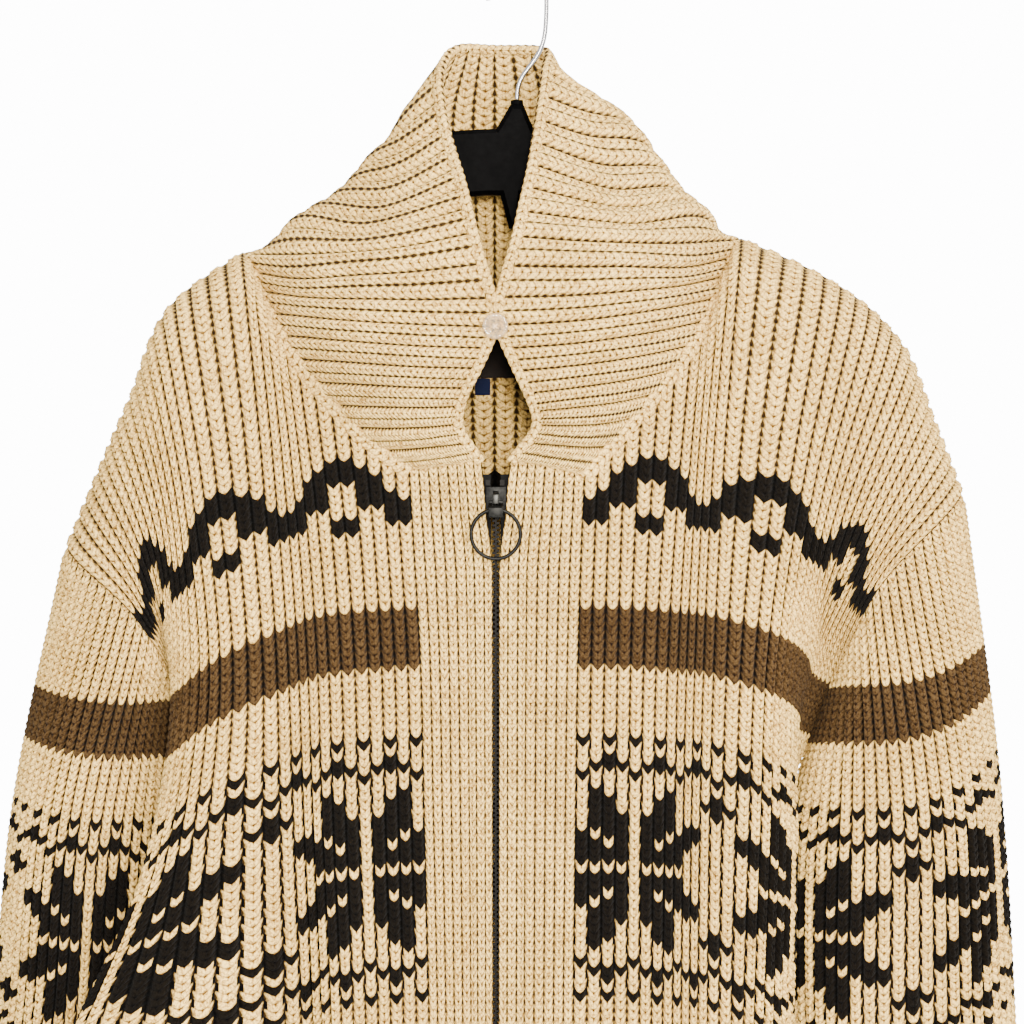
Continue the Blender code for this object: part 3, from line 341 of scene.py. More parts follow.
def stitchRows(top, slant, perStitch):
    # cloth length of every corner: V-shaped rows, cut off at each column's top
    count = int(math.ceil(top.max() / wall["stitch"])) * perStitch
    index = np.arange(count + 1) / perStitch
    rows = wall["stitch"] * (index[:, None] + wall["slant"] * slant[None])
    rows[0] = 0.0
    return np.minimum(rows, top[None]), index


def chartYarn(rib, stitch, plan):
    # yarn of each stitch of the body and the sleeves
    yarn = np.full(rib.shape, yarns["ground"])
    low, high = plan["stripe"]
    yarn[(stitch >= low) & (stitch <= high)] = yarns["brown"]
    if plan["yoke"] is not None:
        chart = np.array([[c == "#" for c in row] for row in yokeChart[::-1]])
        at = stitch - plan["yoke"]
        inside = (at >= 0) & (at < len(chart))
        black = chart[at[inside], rib[inside] % chart.shape[1]]
        yarn[inside] = np.where(black, yarns["black"], yarns["ground"])
    quarter = np.array([[c == "#" for c in row] for row in starQuarter])
    reach, width = quarter.shape[0] - 1, quarter.shape[1] - 1
    at = stitch - plan["star"] - reach
    inside = np.abs(at) <= reach
    turned = np.abs((rib + width // 2) % (2 * width) - width)
    yarn[inside] = np.where(quarter[np.abs(at[inside]), turned[inside]], yarns["black"], yarns["ground"])
    return yarn, inside


def placeObject(name, data):
    obj = bpy.data.objects.new(name, data)
    bpy.context.scene.collection.objects.link(obj)
    return obj


def weld(made):
    bmesh.ops.remove_doubles(made, verts=made.verts, dist=1e-6)


def finishPiece(made, name, smooth=True, mesh=None):
    # makes an object of a bmesh, in the mesh that it came from if it had one
    mesh = mesh or bpy.data.meshes.new(name)
    for face in made.faces:
        face.smooth = smooth
    made.to_mesh(mesh)
    made.free()
    return placeObject(name, mesh)


def gridMesh(name, points):
    # faces through rows of points, with the row and column of every face corner
    rows, columns = points.shape[:2]
    made = bmesh.new()
    bmesh.ops.create_grid(made, x_segments=columns - 1, y_segments=rows - 1, size=1)
    mesh = bpy.data.meshes.new(name)
    made.to_mesh(mesh)
    made.free()
    mesh.vertices.foreach_set("co", (points * mm).astype(np.float32).ravel())
    corner = np.empty(len(mesh.loops), np.int32)
    mesh.loops.foreach_get("vertex_index", corner)
    return mesh, corner // columns, corner % columns


def markKnit(mesh, across, stitch):
    # the rib place and the stitch row of every face corner, and a yarn for every face
    uv = np.stack((across, stitch), axis=-1)
    mesh.uv_layers.new(name="knit").data.foreach_set("uv", uv.astype(np.float32).ravel())
    return mesh.attributes.new("yarn", "FLOAT", "FACE")


def knitShell(name, outer, inner, innerAt, shares, stitches, plan=None, closed=False):
    # a knitted wall: its outside rows run up, over the top edge and down the inside
    rowsOut, rowsIn, columns = len(outer), len(inner), outer.shape[1]
    full = np.concatenate((outer, inner[::-1], outer[:1]))
    across = np.concatenate((stitches, stitches[innerAt][::-1], stitches[:1]))
    mesh, row, column = gridMesh(name, full)
    yarn = markKnit(mesh, shares[column], across[row])
    faceRow, faceColumn = row.reshape(-1, 4).min(axis=1), column.reshape(-1, 4).min(axis=1)
    if plan:
        middle = (shares[faceColumn] + shares[np.minimum(faceColumn + 1, columns - 1)]) / 2
        rib = np.floor(middle).astype(int)
        level = np.minimum(across[faceRow], across[np.minimum(faceRow + 1, len(full) - 1)])
        stitch = np.floor(level + 1e-6).astype(int)
        colours, patterned = chartYarn(rib, stitch, plan)
        inValley = np.abs(2 * (middle % 1.0) - 1) > 0.8
        # yarn carried behind the pattern shows between the ribs
        colours[inValley & patterned & ((stitch + rib) % 2 == 0)] = yarns["black"]
        yarn.data.foreach_set("value", colours.astype(np.float32))
    made = bmesh.new()
    made.from_mesh(mesh)
    made.verts.ensure_lookup_table()
    if not closed:
        for edge in (0, columns - 1):
            for k in range(rowsIn - 1):
                ring = [made.verts[r * columns + edge] for r in range(innerAt[k], innerAt[k + 1] + 1)]
                ring += [made.verts[(rowsOut + rowsIn - 1 - m) * columns + edge] for m in (k + 1, k)]
                made.faces.new(ring if edge == columns - 1 else ring[::-1])
    weld(made)
    return finishPiece(made, name, mesh=mesh)


def raiseRibs(points, normals, heightOut, heightIn, rows, top, index, innerAt, perStitch, low=0.3):
    # outside and inside faces of ribbed cloth; the ribs die away at the top seam
    bulge = wall["bulge"] * np.where(np.arange(len(index)) % perStitch == 0, -1.0, 1.0) * (perStitch > 1)
    near = np.clip((top[None] - rows) / wall["fade"], 0, 1)[..., None]
    out = heightOut[None, :, None] + bulge[:, None, None] * (heightOut > 0.5)[None, :, None]
    outer = points + normals * (out * near + low * (1 - near))
    inside = heightIn[None, :, None] * near[innerAt] + wall["inside"] * (1 - near[innerAt])
    inner = points[innerAt] - normals[innerAt] * inside
    return outer, inner


def innerRows(rowsOut, step):
    return list(range(0, rowsOut - 1, step)) + [rowsOut - 1]


fronts = {"perStitch": 2, "innerStep": 12}  # face rows to a stitch, and how many of them one row inside spans
backs = {"perStitch": 1, "innerStep": 4}
rowSag = {  # rib from the middle, and how far its rows hang below the even level
    "left": ((0, 0), (8, 2), (14, 10), (20, 20), (32, 24)),
    "right": ((0, 0), (32, 0)),
    "back": ((0, 0), (14, 0), (32, 8)),
}


def bodyMiddle(name, perStitch):
    # middle surface of a panel at all its stitch corners, left to right
    panel = panels[name]
    start = -ribs["front"] if name == "back" else 0
    place, heightOut, heightIn, slant = ribColumns(ribs["front"] - start, bodyRib, start)
    if name != "right":  # the left front runs to its band, and the back is seen from behind
        place, heightOut, heightIn, slant = place[::-1], heightOut[::-1], heightIn[::-1], slant[::-1]
    top = panelTop(panel, place)
    rows, index = stitchRows(top, slant, perStitch)
    sag = np.interp(np.abs(place), *zip(*rowSag[name]))
    rows = rows - sag[None] * np.sin(math.pi * np.clip(rows / top[None], 0, 1))
    points = panelPoints(panel, np.repeat(place[None], len(rows), axis=0), rows)
    for side in ("left", "right"):
        if name not in (side, "back"):
            continue
        sign = -1 if (name == "back" and side == "left") else 1
        for column in np.flatnonzero(np.abs(place - sign * ribs["front"]) < wall["ease"]):
            below = rows[:, column] <= levels["chest"]
            frontLine, backLine = sideSeam(side, rows[below, column])
            own = backLine if name == "back" else frontLine
            fade = (1 - abs(place[column] - sign * ribs["front"]) / wall["ease"]) ** 2
            points[below, column] += ((frontLine + backLine) / 2 - own) * fade
    return {
        "place": place, "out": heightOut, "in": heightIn, "top": top,
        "rows": rows, "index": index, "points": points,
    }


body = {name: bodyMiddle(name, (backs if name == "back" else fronts)["perStitch"]) for name in panels}
print("body surfaces worked out")


def bodyPanel(name, panel, settings):
    made = body[panel]
    points = made["points"]
    innerAt = innerRows(len(points), settings["innerStep"])
    outer, inner = raiseRibs(
        points, clothNormals(points), made["out"], made["in"], made["rows"], made["top"], made["index"],
        innerAt, settings["perStitch"],
    )
    return knitShell(name, outer, inner, innerAt, made["place"], made["index"], plan=bodyPlan)


pieces = {
    "front_left": bodyPanel("front_left_knit", "left", fronts),
    "front_right": bodyPanel("front_right_knit", "right", fronts),
    "back": bodyPanel("back_knit", "back", backs),
}
print("body panels knitted")


sleeves = {
    "perStitch": 2, "innerStep": 16, "low": 0.2,
    "rideUp": {"left": 0.035, "right": 0.075}, "rideUnder": 0.015,  # rise of the rows at either side
}


def armhole(side):
    # from the armpit up the front and down the back
    edges = (-1, 0) if side == "right" else (0, -1)
    lines = []
    for name, edge in zip((side, "back"), edges):
        made = body[name]
        rows, top = made["rows"][:, edge], made["top"][edge]
        between = rows[(rows > levels["chest"]) & (rows < top)]
        asked = np.concatenate(([levels["chest"]], between, [top]))
        rib = np.full_like(asked, float(made["place"][edge]))
        lines.append(panelPoints(panels[name], rib, asked))
    return np.concatenate((lines[0], lines[1][::-1][1:]))


def sleevePiece(name, side, rowsOfTable, settings):
    sections = table(sleeveColumns, rowsOfTable)
    facing = 1 if side == "right" else -1
    place, heightOut, heightIn, slant = ribColumns(ribs["sleeve"], bodyRib)
    shares = place / ribs["sleeve"]
    line = armhole(side)
    if side == "left":
        line = line[::-1]
    turn = 2 * math.pi * shares
    rings = []
    for row in reversed(sections):
        x = row["x"] - facing * row["halfWidth"] * np.cos(turn)
        y = row["y"] - facing * row["halfDepth"] * np.sin(turn)
        rings.append(np.stack((x, y, np.full(len(shares), float(row["z"]))), axis=-1))
    guide = np.stack(rings + [along(line, line, shares)], axis=1)
    knots = np.stack([lengthsAlong(column) for column in guide])
    rows, index = stitchRows(knots[:, -1], slant, settings["perStitch"])
    outerSide, innerSide = ((1 - np.cos(turn)) / 2) ** 3, ((1 + np.cos(turn)) / 2) ** 3
    lift = settings["rideUp"][side] * outerSide + settings["rideUnder"] * innerSide
    level = rows / knots[:, -1]
    rows = np.minimum(rows + np.sin(math.pi * level) * lift * knots[:, -1], knots[:, -1])
    points = np.stack([cubicWeights(knots[i], rows[:, i]) @ guide[i] for i in range(len(place))], axis=1)
    points[:, -1] = points[:, 0]
    innerAt = innerRows(len(points), settings["innerStep"])
    outer, inner = raiseRibs(
        points, clothNormals(points, closed=True), heightOut, heightIn, rows, knots[:, -1], index,
        innerAt, settings["perStitch"], settings["low"],
    )
    return knitShell(name, outer, inner, innerAt, place, index, plan=sleevePlan, closed=True)


pieces["sleeve_left"] = sleevePiece("sleeve_left_knit", "left", sleeveLeftTable, sleeves)
pieces["sleeve_right"] = sleevePiece("sleeve_right_knit", "right", sleeveRightTable, sleeves)
print("sleeves knitted")


# A collar row is a stitch; anchors are the half ribs from one held place on the neckline to the next.
collar = {"stitches": 30, "slant": 0.8, "anchors": 4, "settle": 3, "samples": 41}


def neckline():
    # from the right band over the back to the left band, and where its first shoulder corner is
    lines, neck = [], ribs["neck"]
    for panel, low, high in (("right", 0, neck), ("back", neck, -neck), ("left", neck, 0)):
        place = np.linspace(low, high, int(abs(high - low)) * 2 + 1)
        lines.append(panelTopLine(panels[panel], place))
    return np.concatenate((lines[0], lines[1][1:-1], lines[2])), len(lines[0]) - 1


def collarSurface(settings):
    rightGuides = [(rib, np.array(points, float)) for rib, *points in collarRightTable]
    leftGuides = [(ribs["collar"] - rib, np.array(points, float)) for rib, *points in collarLeftTable]
    guides = rightGuides + leftGuides[::-1]
    knots = np.array([rib for rib, points in guides])
    line, corner = neckline()
    length = lengthsAlong(line)
    nearest = [length[np.argmin(np.linalg.norm(line - points[0], axis=1))] for rib, points in guides]
    half = np.arange(2 * ribs["collar"] + 1) / 2
    seamShares = cubicWeights(knots, half) @ (np.array(nearest) / length[-1])
    seamShares[0], seamShares[-1] = 0.0, 1.0
    anchors = seamShares[:: settings["anchors"]].copy()
    for share in length[[corner, -1 - corner]] / length[-1]:
        anchors[np.argmin(np.abs(anchors - share))] = share
    place, heightOut, heightIn, _ = ribColumns(ribs["collar"], collarRib)
    shares = np.interp(place, half[:: settings["anchors"]], anchors)
    seam = along(line, line, shares)
    index = np.arange(settings["stitches"] + 1.0)
    slant = settings["slant"] * slantOf(2 * place)  # two chain columns in each raised rib
    level = np.clip((index[:, None] + slant[None]) / settings["stitches"], 0, 1)
    level[0] = 0.0
    across = cubicWeights(knots, place)
    even = np.linspace(0, 1, settings["samples"])
    curves = np.zeros((len(even), len(place), 3))
    for column, (rib, points) in enumerate(guides):
        own = lengthsAlong(points)
        curve = cubicWeights(own, even * own[-1]) @ points
        curves += across[None, :, column, None] * curve[:, None]
    curves += ((1 - even) ** settings["settle"])[:, None, None] * (seam - curves[0])[None]
    points = np.zeros((len(index), len(place), 3))
    for column in range(len(place)):
        for axis in range(3):
            points[:, column, axis] = np.interp(level[:, column], even, curves[:, column, axis])
    return place, heightOut, heightIn, index, points, curves


def collarPiece(name, settings):
    place, heightOut, heightIn, index, points, curves = collarSurface(settings)
    normals = clothNormals(points)
    innerAt = list(range(len(points)))
    outer = points + normals * heightOut[None, :, None]
    inner = points - normals * heightIn[None, :, None]
    return knitShell(name, outer, inner, innerAt, 2 * place, index), (points, normals, curves)


pieces["collar"], collarForm = collarPiece("collar_knit", collar)
print("collar knitted")


# Ribs fill a share of a band's width, then come smooth columns; the top stands over the collar's end.
bands = {
    "ribbed": 0.66, "perStitch": 1, "innerStep": 8, "topOver": 1.6, "joinLength": 15.0,
    "smooth": (0.70, 0.765, 0.83, 0.89, 0.945, 1.0), "smoothOut": (1.5, 1.0, 1.5, 1.0, 1.4, 0.2),
    "smoothIn": 1.6,
}
bandRib = {
    "place": (0.0, 0.16, 0.34, 0.50, 0.66, 0.84),
    "out": (-0.4, 1.0, 2.1, 1.7, 2.1, 1.0),
    "in": (2.2, 2.0, 1.6, 1.4, 1.6, 2.0),
}


def frontEdge(side, count):
    # a front's edge beside its band, from the hem up
    panel = panels[side]
    cloth = np.linspace(0, float(panelTop(panel, np.zeros(1))[0]), count)
    return panelPoints(panel, np.zeros_like(cloth), cloth)


def bandPiece(name, side, settings):
    # fine ribs beside the front, then a smooth stretch beside the zip; the top follows the collar's end
    facing = 1 if side == "right" else -1
    place, heightOut, heightIn, slant = ribColumns(ribs["band"], bandRib)
    share = np.concatenate((place / ribs["band"] * settings["ribbed"], settings["smooth"]))
    extra = len(settings["smooth"])
    place = np.concatenate((place, ribs["band"] + np.arange(1, extra + 1) / 2))
    heightOut = np.concatenate((heightOut, settings["smoothOut"]))
    heightIn = np.concatenate((heightIn, np.full(extra, settings["smoothIn"])))
    slant = np.concatenate((slant, np.arange(extra) % 2))
    edge = frontEdge(side, 200)
    heights, reach = np.array(bandTable[::-1], float).T
    collarEnd = collarForm[2][:, 0 if side == "right" else -1]
    order = np.argsort(collarEnd[:, 0])
    edgeX = edge[-1, 0] + share * (zipX + facing * reach[-1] - edge[-1, 0])
    topZ = np.interp(edgeX, collarEnd[order, 0], collarEnd[order, 2]) + settings["topOver"]
    topY = np.interp(edgeX, collarEnd[order, 0], collarEnd[order, 1])
    rows, index = stitchRows(topZ - levels["hemZ"], slant, settings["perStitch"])
    z = levels["hemZ"] + rows
    frontX = np.interp(z, edge[:, 2], edge[:, 0])
    y = np.interp(z, edge[:, 2], edge[:, 1])
    zipEdge = zipX + facing * np.interp(z, heights, reach)
    x = frontX + share[None] * (zipEdge - frontX)
    lift = np.clip((z - topZ[None] + settings["joinLength"]) / settings["joinLength"], 0, 1)
    y = y + (topY[None] - np.interp(topZ, edge[:, 2], edge[:, 1])[None]) * lift
    points = np.stack((x, y, z), axis=-1)
    if side == "right":
        points, place, heightOut, heightIn = points[:, ::-1], place[::-1], heightOut[::-1], heightIn[::-1]
        rows, topZ = rows[:, ::-1], topZ[::-1]
    normals = np.zeros_like(points)
    normals[..., 1] = -1.0
    innerAt = innerRows(len(points), settings["innerStep"])
    outer, inner = raiseRibs(
        points, normals, heightOut, heightIn, rows, topZ - levels["hemZ"], index,
        innerAt, settings["perStitch"],
    )
    return knitShell(name, outer, inner, innerAt, place, index)


pieces["band_left"] = bandPiece("band_left_knit", "left", bands)
pieces["band_right"] = bandPiece("band_right_knit", "right", bands)


# Chains along the neckline and the collar's free edge; soften smooths the line that many times.
braids = {
    "neck": {"width": 8.5, "height": 3.2, "lift": 0.4, "stitch": 5.4, "soften": 12},
    "edge": {"width": 6.4, "height": 3.0, "lift": 0.0, "stitch": 5.0, "soften": 3},
}


def braidPiece(name, line, normals, settings, sides=12):
    # a chain of stitches lying along a line of the cloth
    length = lengthsAlong(line)
    count = int(length[-1] / settings["stitch"] * 2)
    shares = np.linspace(0, 1, count + 1)
    centre, up = along(line, line, shares), along(line, normals, shares)
    for _ in range(settings["soften"]):
        centre[1:-1] = (centre[:-2] + 2 * centre[1:-1] + centre[2:]) / 4
        up[1:-1] = (up[:-2] + 2 * up[1:-1] + up[2:]) / 4
    up = unit(up)
    tangent = unit(np.gradient(centre, axis=0))
    across = unit(np.cross(tangent, up))
    turn = np.linspace(0, 2 * math.pi, sides + 1)
    spread, rise = np.cos(turn), np.sin(turn)
    groove = 1 - 0.22 * np.exp(-((spread / 0.25) ** 2)) * (rise > 0)
    swell = 1 + 0.07 * np.cos(np.arange(count + 1) * math.pi)
    points = (
        centre[:, None] + up[:, None] * settings["lift"]
        + across[:, None] * (settings["width"] / 2 * spread)[None, :, None] * swell[:, None, None]
        + up[:, None] * (settings["height"] * rise * groove)[None, :, None] * swell[:, None, None]
    )
    mesh, row, column = gridMesh(name, points)
    reach = spread[column]
    markKnit(mesh, (reach + 1) / 2, row / 2 + 0.45 * np.abs(reach))
    made = bmesh.new()
    made.from_mesh(mesh)
    weld(made)
    ends = [edge for edge in made.edges if edge.is_boundary]
    bmesh.ops.holes_fill(made, edges=ends, sides=0)
    bmesh.ops.recalc_face_normals(made, faces=made.faces)
    return finishPiece(made, name, mesh=mesh)


collarPoints, collarNormals, collarCurves = collarForm
seamNormals = unit(collarNormals[1] + np.array((0, -0.4, 0.2)))  # leaning forward and up
pieces["neck_braid"] = braidPiece("neckline_braid", collarCurves[0], seamNormals, braids["neck"])
pieces["collar_edge"] = braidPiece("collar_edge_chain", collarPoints[-1], collarNormals[-1], braids["edge"])
print("bands and braids made")


zipTeeth = {"top": -305.0, "pitch": 2.6, "size": (2.4, 2.2, 1.2), "apart": 0.7, "behind": 3.0}
zipStops = {"places": (-16.6, -8.4), "z": -297.7, "size": (2.6, 2.0, 3.2), "behind": 1.8}
pull = {"ringRadius": 13.9, "wire": 1.1, "bevel": 0.22, "crownDepth": 4.0}


def clothDepth(z):
    edge = frontEdge("right", 120)
    return float(np.interp(z, edge[:, 2], edge[:, 1]))


def block(made, centre, size):
    cube = bmesh.ops.create_cube(made, size=1.0)["verts"]
    bmesh.ops.scale(made, verts=cube, vec=Vector(size) * mm)
    bmesh.ops.translate(made, verts=cube, vec=Vector(centre) * mm)


def teethPiece(name, settings):
    made = bmesh.new()
    z, side = settings["top"], 1
    while z > levels["hemZ"] + 2:
        y = clothDepth(z) + settings["behind"]
        block(made, (zipX + side * settings["apart"], y, z), settings["size"])
        z -= settings["pitch"] / 2
        side = -side
    return finishPiece(made, name, smooth=False)


def refined(node, name, bevel):
    # a solid's own form with softened edges
    made = bmesh.new()
    made.from_mesh(bpy.data.objects[node].data)
    weld(made)
    bmesh.ops.dissolve_limit(made, angle_limit=math.radians(2), verts=made.verts, edges=made.edges)
    folded = [edge for edge in made.edges if len(edge.link_faces) == 2]
    sharp = [edge for edge in folded if edge.calc_face_angle(0) > math.radians(35)]
    bmesh.ops.bevel(
        made, geom=sharp, offset=bevel * mm, segments=2, profile=0.5, affect="EDGES", material=-1,
        clamp_overlap=True,
    )
    return finishPiece(made, name)


def turnRound(made, steps, centre):
    # spins the whole profile once about the front-to-back axis, then moves it to its place
    profile = made.verts[:] + made.edges[:]
    bmesh.ops.spin(
        made, geom=profile, cent=(0, 0, 0), axis=(0, 1, 0), angle=2 * math.pi, steps=steps, use_merge=True
    )
    weld(made)
    bmesh.ops.recalc_face_normals(made, faces=made.faces)
    bmesh.ops.translate(made, verts=made.verts, vec=centre)


def ringPiece(name, settings):
    low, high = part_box("pull_ring")
    centre = (Vector(low) + Vector(high)) / 2
    made = bmesh.new()
    wire = bmesh.ops.create_circle(made, segments=16, radius=settings["wire"] * mm)["verts"]
    bmesh.ops.translate(made, verts=wire, vec=(settings["ringRadius"] * mm, 0, 0))
    turnRound(made, 96, centre)
    return finishPiece(made, name)


def stopPiece(name, settings):
    # the small square stops at the top of the zip
    made = bmesh.new()
    y = clothDepth(settings["z"]) + settings["behind"]
    for x in settings["places"]:
        block(made, (x, y, settings["z"]), settings["size"])
    return finishPiece(made, name, smooth=False)


pieces["zip_teeth"] = teethPiece("zip_teeth", zipTeeth)
pieces["zip_stops"] = stopPiece("zip_stops", zipStops)
for key, node in (("slider", "zip_slider"), ("link", "pull_link")):
    pieces[key] = refined(node, node + "_body", pull["bevel"])
pieces["ring"] = ringPiece("pull_ring_wire", pull)
print("zip and pull made")


buttonProfile = (  # radius and depth, from the middle of its front to the middle of its back
    (0, -1.9), (3.6, -1.8), (4.9, -2.4), (5.6, -3.0), (6.6, -2.9), (7.3, -2.3), (7.5, -1.5), (7.2, -0.6),
    (6.4, 0.0), (0, 0.0),
)
buttonThread = {"radius": 0.45, "length": 3.74, "depth": -2.2}
hookWire = {"radius": 1.35, "resolution": 5, "arch": 17, "centreZ": -15.6, "tipTurn": 194, "archSteps": 15}
hookStem = (
    (17, -26), (16.6, -34), (15.8, -42), (13, -50), (8, -57), (3, -63), (0.6, -69), (0, -73), (0, -76.5),
)


def buttonPiece(name, profile):
    low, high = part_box("button")
    centre = Vector(((low.x + high.x) / 2, high.y, (low.z + high.z) / 2))
    made = bmesh.new()
    line = [made.verts.new((r * mm, y * mm, 0)) for r, y in profile]
    for pair in zip(line, line[1:]):
        made.edges.new(pair)
    turnRound(made, 64, centre)
    return finishPiece(made, name), centre


def threadPiece(name, centre, settings):
    # two short crossing threads
    made = bmesh.new()
    radius, length = settings["radius"] * mm, settings["length"] * mm
    for turn in (45, -45):
        bar = bmesh.ops.create_cone(
            made, cap_ends=True, segments=10, radius1=radius, radius2=radius, depth=length
        )["verts"]
        bmesh.ops.rotate(made, verts=bar, cent=(0, 0, 0), matrix=Matrix.Rotation(math.radians(turn), 3, "Y"))
        bmesh.ops.translate(made, verts=bar, vec=centre + Vector((0, settings["depth"] * mm, 0)))
    return finishPiece(made, name)


def wirePiece(name, stem, settings):
    # a round wire in the hanger's plane: an arch over the rod, then the stem
    path, reach = [], settings["arch"]
    for turn in np.radians(np.linspace(settings["tipTurn"], 0, settings["archSteps"])):
        path.append((reach * math.cos(turn), settings["centreZ"] + reach * math.sin(turn)))
    path += stem
    curve = bpy.data.curves.new(name, "CURVE")
    curve.dimensions = "3D"
    curve.bevel_depth = settings["radius"] * mm
    curve.bevel_resolution = settings["resolution"]
    curve.use_fill_caps = True
    line = curve.splines.new("NURBS")
    line.points.add(len(path) - 1)
    for point, (x, z) in zip(line.points, path):
        point.co = (x * mm, 0, z * mm, 1)
    line.order_u, line.use_endpoint_u, line.resolution_u = 4, True, 6
    holder = placeObject(name + "_curve", curve)
    bpy.context.view_layer.update()
    mesh = bpy.data.meshes.new_from_object(holder.evaluated_get(bpy.context.evaluated_depsgraph_get()))
    bpy.data.objects.remove(holder)
    mesh.name = name
    for face in mesh.polygons:
        face.use_smooth = True
    return placeObject(name, mesh)


pieces["button"], buttonCentre = buttonPiece("collar_button", buttonProfile)
pieces["thread"] = threadPiece("button_thread", buttonCentre, buttonThread)
pieces["hook"] = wirePiece("hook_wire", hookStem, hookWire)
print("button and hook made")


def setInputs(node, values):
    for name, value in values.items():
        node.inputs[name].default_value = value


def newMaterial(name, colour, roughness, metallic=0.0):
    material = bpy.data.materials.new(name)
    material.use_nodes = True
    shader = material.node_tree.nodes["Principled BSDF"]
    setInputs(shader, {"Base Color": (*colour, 1), "Roughness": roughness, "Metallic": metallic})
    return material, material.node_tree, shader


def makeNode(tree, kind, **settings):
    node = tree.nodes.new(kind)
    for key, value in settings.items():
        setattr(node, key, value)
    return node


def calculate(tree, operation, *values):
    node = makeNode(tree, "ShaderNodeMath", operation=operation)
    for socket, value in zip(node.inputs, values):
        if isinstance(value, (int, float)):
            socket.default_value = value
        else:
            tree.links.new(value, socket)
    return node.outputs[0]


def rampOf(tree, value, stops, interpolation="LINEAR"):
    node = makeNode(tree, "ShaderNodeValToRGB")
    node.color_ramp.interpolation = interpolation
    while len(node.color_ramp.elements) < len(stops):
        node.color_ramp.elements.new(0.5)
    for element, (place, colour) in zip(node.color_ramp.elements, stops):
        element.position = place
        element.color = (*colour, 1)
    tree.links.new(value, node.inputs["Fac"])
    return node.outputs["Color"]


def noiseOf(tree, scale, detail, roughness):
    noise = makeNode(tree, "ShaderNodeTexNoise")
    setInputs(noise, {"Scale": scale, "Detail": detail, "Roughness": roughness})
    tree.links.new(makeNode(tree, "ShaderNodeTexCoord").outputs["Object"], noise.inputs["Vector"])
    return noise.outputs["Fac"]


def mixColours(tree, share, first, second, blend="MIX"):
    node = makeNode(tree, "ShaderNodeMix", data_type="RGBA", blend_type=blend)
    for socket, value in ((node.inputs[0], share), (node.inputs[6], first), (node.inputs[7], second)):
        if isinstance(value, (int, float)):
            socket.default_value = value
        elif isinstance(value, tuple):
            socket.default_value = (*value, 1)
        else:
            tree.links.new(value, socket)
    return node.outputs[2]


def bumpOf(tree, shader, height, strength, distance):
    bump = makeNode(tree, "ShaderNodeBump")
    setInputs(bump, {"Strength": strength, "Distance": distance})
    tree.links.new(height, bump.inputs["Height"])
    tree.links.new(bump.outputs["Normal"], shader.inputs["Normal"])


# yarn colours, then the colours of the painted shade down the valleys and in the pits between stitches
wool = {
    "ground": (1.0, 0.685, 0.215), "brown": (0.070, 0.041, 0.016), "black": (0.005, 0.0038, 0.0025),
    "valleyShade": (0.040, 0.032, 0.028), "pitShade": (0.17, 0.115, 0.07), "roughness": 1.0, "sheen": 0.02,
    "ease": 0.60,  # how far the painted shade between stitches dies away beside the valleys
}


def knitMaterial(name, settings, valley=(0.68, 0.93)):
    # two plump legs to each stitch, with painted shade between the stitches and down in the valleys
    material, tree, shader = newMaterial(name, settings["ground"], settings["roughness"])

    def work(operation, *values):
        return calculate(tree, operation, *values)

    def times(first, second):
        return calculate(tree, "MULTIPLY", first, second)

    def less(first, second):
        return calculate(tree, "SUBTRACT", first, second)

    knit = makeNode(tree, "ShaderNodeUVMap", uv_map="knit")
    places = makeNode(tree, "ShaderNodeSeparateXYZ")
    tree.links.new(knit.outputs["UV"], places.inputs[0])
    across, stitch = work("FRACT", places.outputs[0]), work("FRACT", places.outputs[1])
    side = work("ABSOLUTE", less(times(across, 2.0), 1.0))
    strand = work("POWER", work("SINE", times(stitch, math.pi)), 0.55)
    strand = less(1.0, times(less(1.0, strand), less(1.05, times(side, settings["ease"]))))
    leg = work("SINE", times(work("POWER", side, 0.7), math.pi * 0.93))
    leg = work("POWER", work("MAXIMUM", leg, 0.0), 0.5)
    parting = less(1.0, leg)  # the line between the two legs, raised in the bump and painted as shade, shows most where stitches meet
    parting = times(parting, less(1.15, times(strand, 0.65)))
    plump = work("MAXIMUM", less(strand, parting), 0.0)
    height = work("ADD", plump, times(noiseOf(tree, 1100.0, 4.0, 0.7), 0.75))
    yarn = makeNode(tree, "ShaderNodeAttribute", attribute_name="yarn").outputs["Fac"]
    stops = ((0.0, settings["ground"]), (0.25, settings["brown"]), (0.75, settings["black"]))
    base = rampOf(tree, yarn, stops, "CONSTANT")
    white = (1.0, 1.0, 1.0)
    cloud = rampOf(tree, noiseOf(tree, 30.0, 3.0, 0.6), ((0.3, (0.76, 0.74, 0.70)), (0.7, white)))
    fine = rampOf(tree, noiseOf(tree, 620.0, 3.0, 0.75), ((0.38, (0.36, 0.29, 0.21)), (0.57, white)))
    base = mixColours(tree, 1.0, base, cloud, "MULTIPLY")
    base = mixColours(tree, 1.0, base, fine, "MULTIPLY")
    # painted shade in the pits between stitches and along the parting of the legs
    pitShadeRamp = rampOf(tree, plump, ((0.05, settings["pitShade"]), (0.70, white)))
    base = mixColours(tree, 1.0, base, pitShadeRamp, "MULTIPLY")
    # painted shade down the valleys between ribs, broken into dots where the ladder loops cross them
    rungShade = times(work("SINE", times(stitch, 2 * math.pi)), 0.09)
    shade = rampOf(tree, work("ADD", side, rungShade), ((valley[0], white), (valley[1], settings["valleyShade"])))
    base = mixColours(tree, 1.0, base, shade, "MULTIPLY")
    tree.links.new(base, shader.inputs["Base Color"])
    setInputs(shader, {"Sheen Weight": settings["sheen"], "Sheen Roughness": 0.5, "Specular IOR Level": 0.03})
    bumpOf(tree, shader, height, 1.0, 0.0013)
    return material


def lighter(colour, share, more=0.0):
    return tuple(min(1.0, value * share + more) for value in colour)


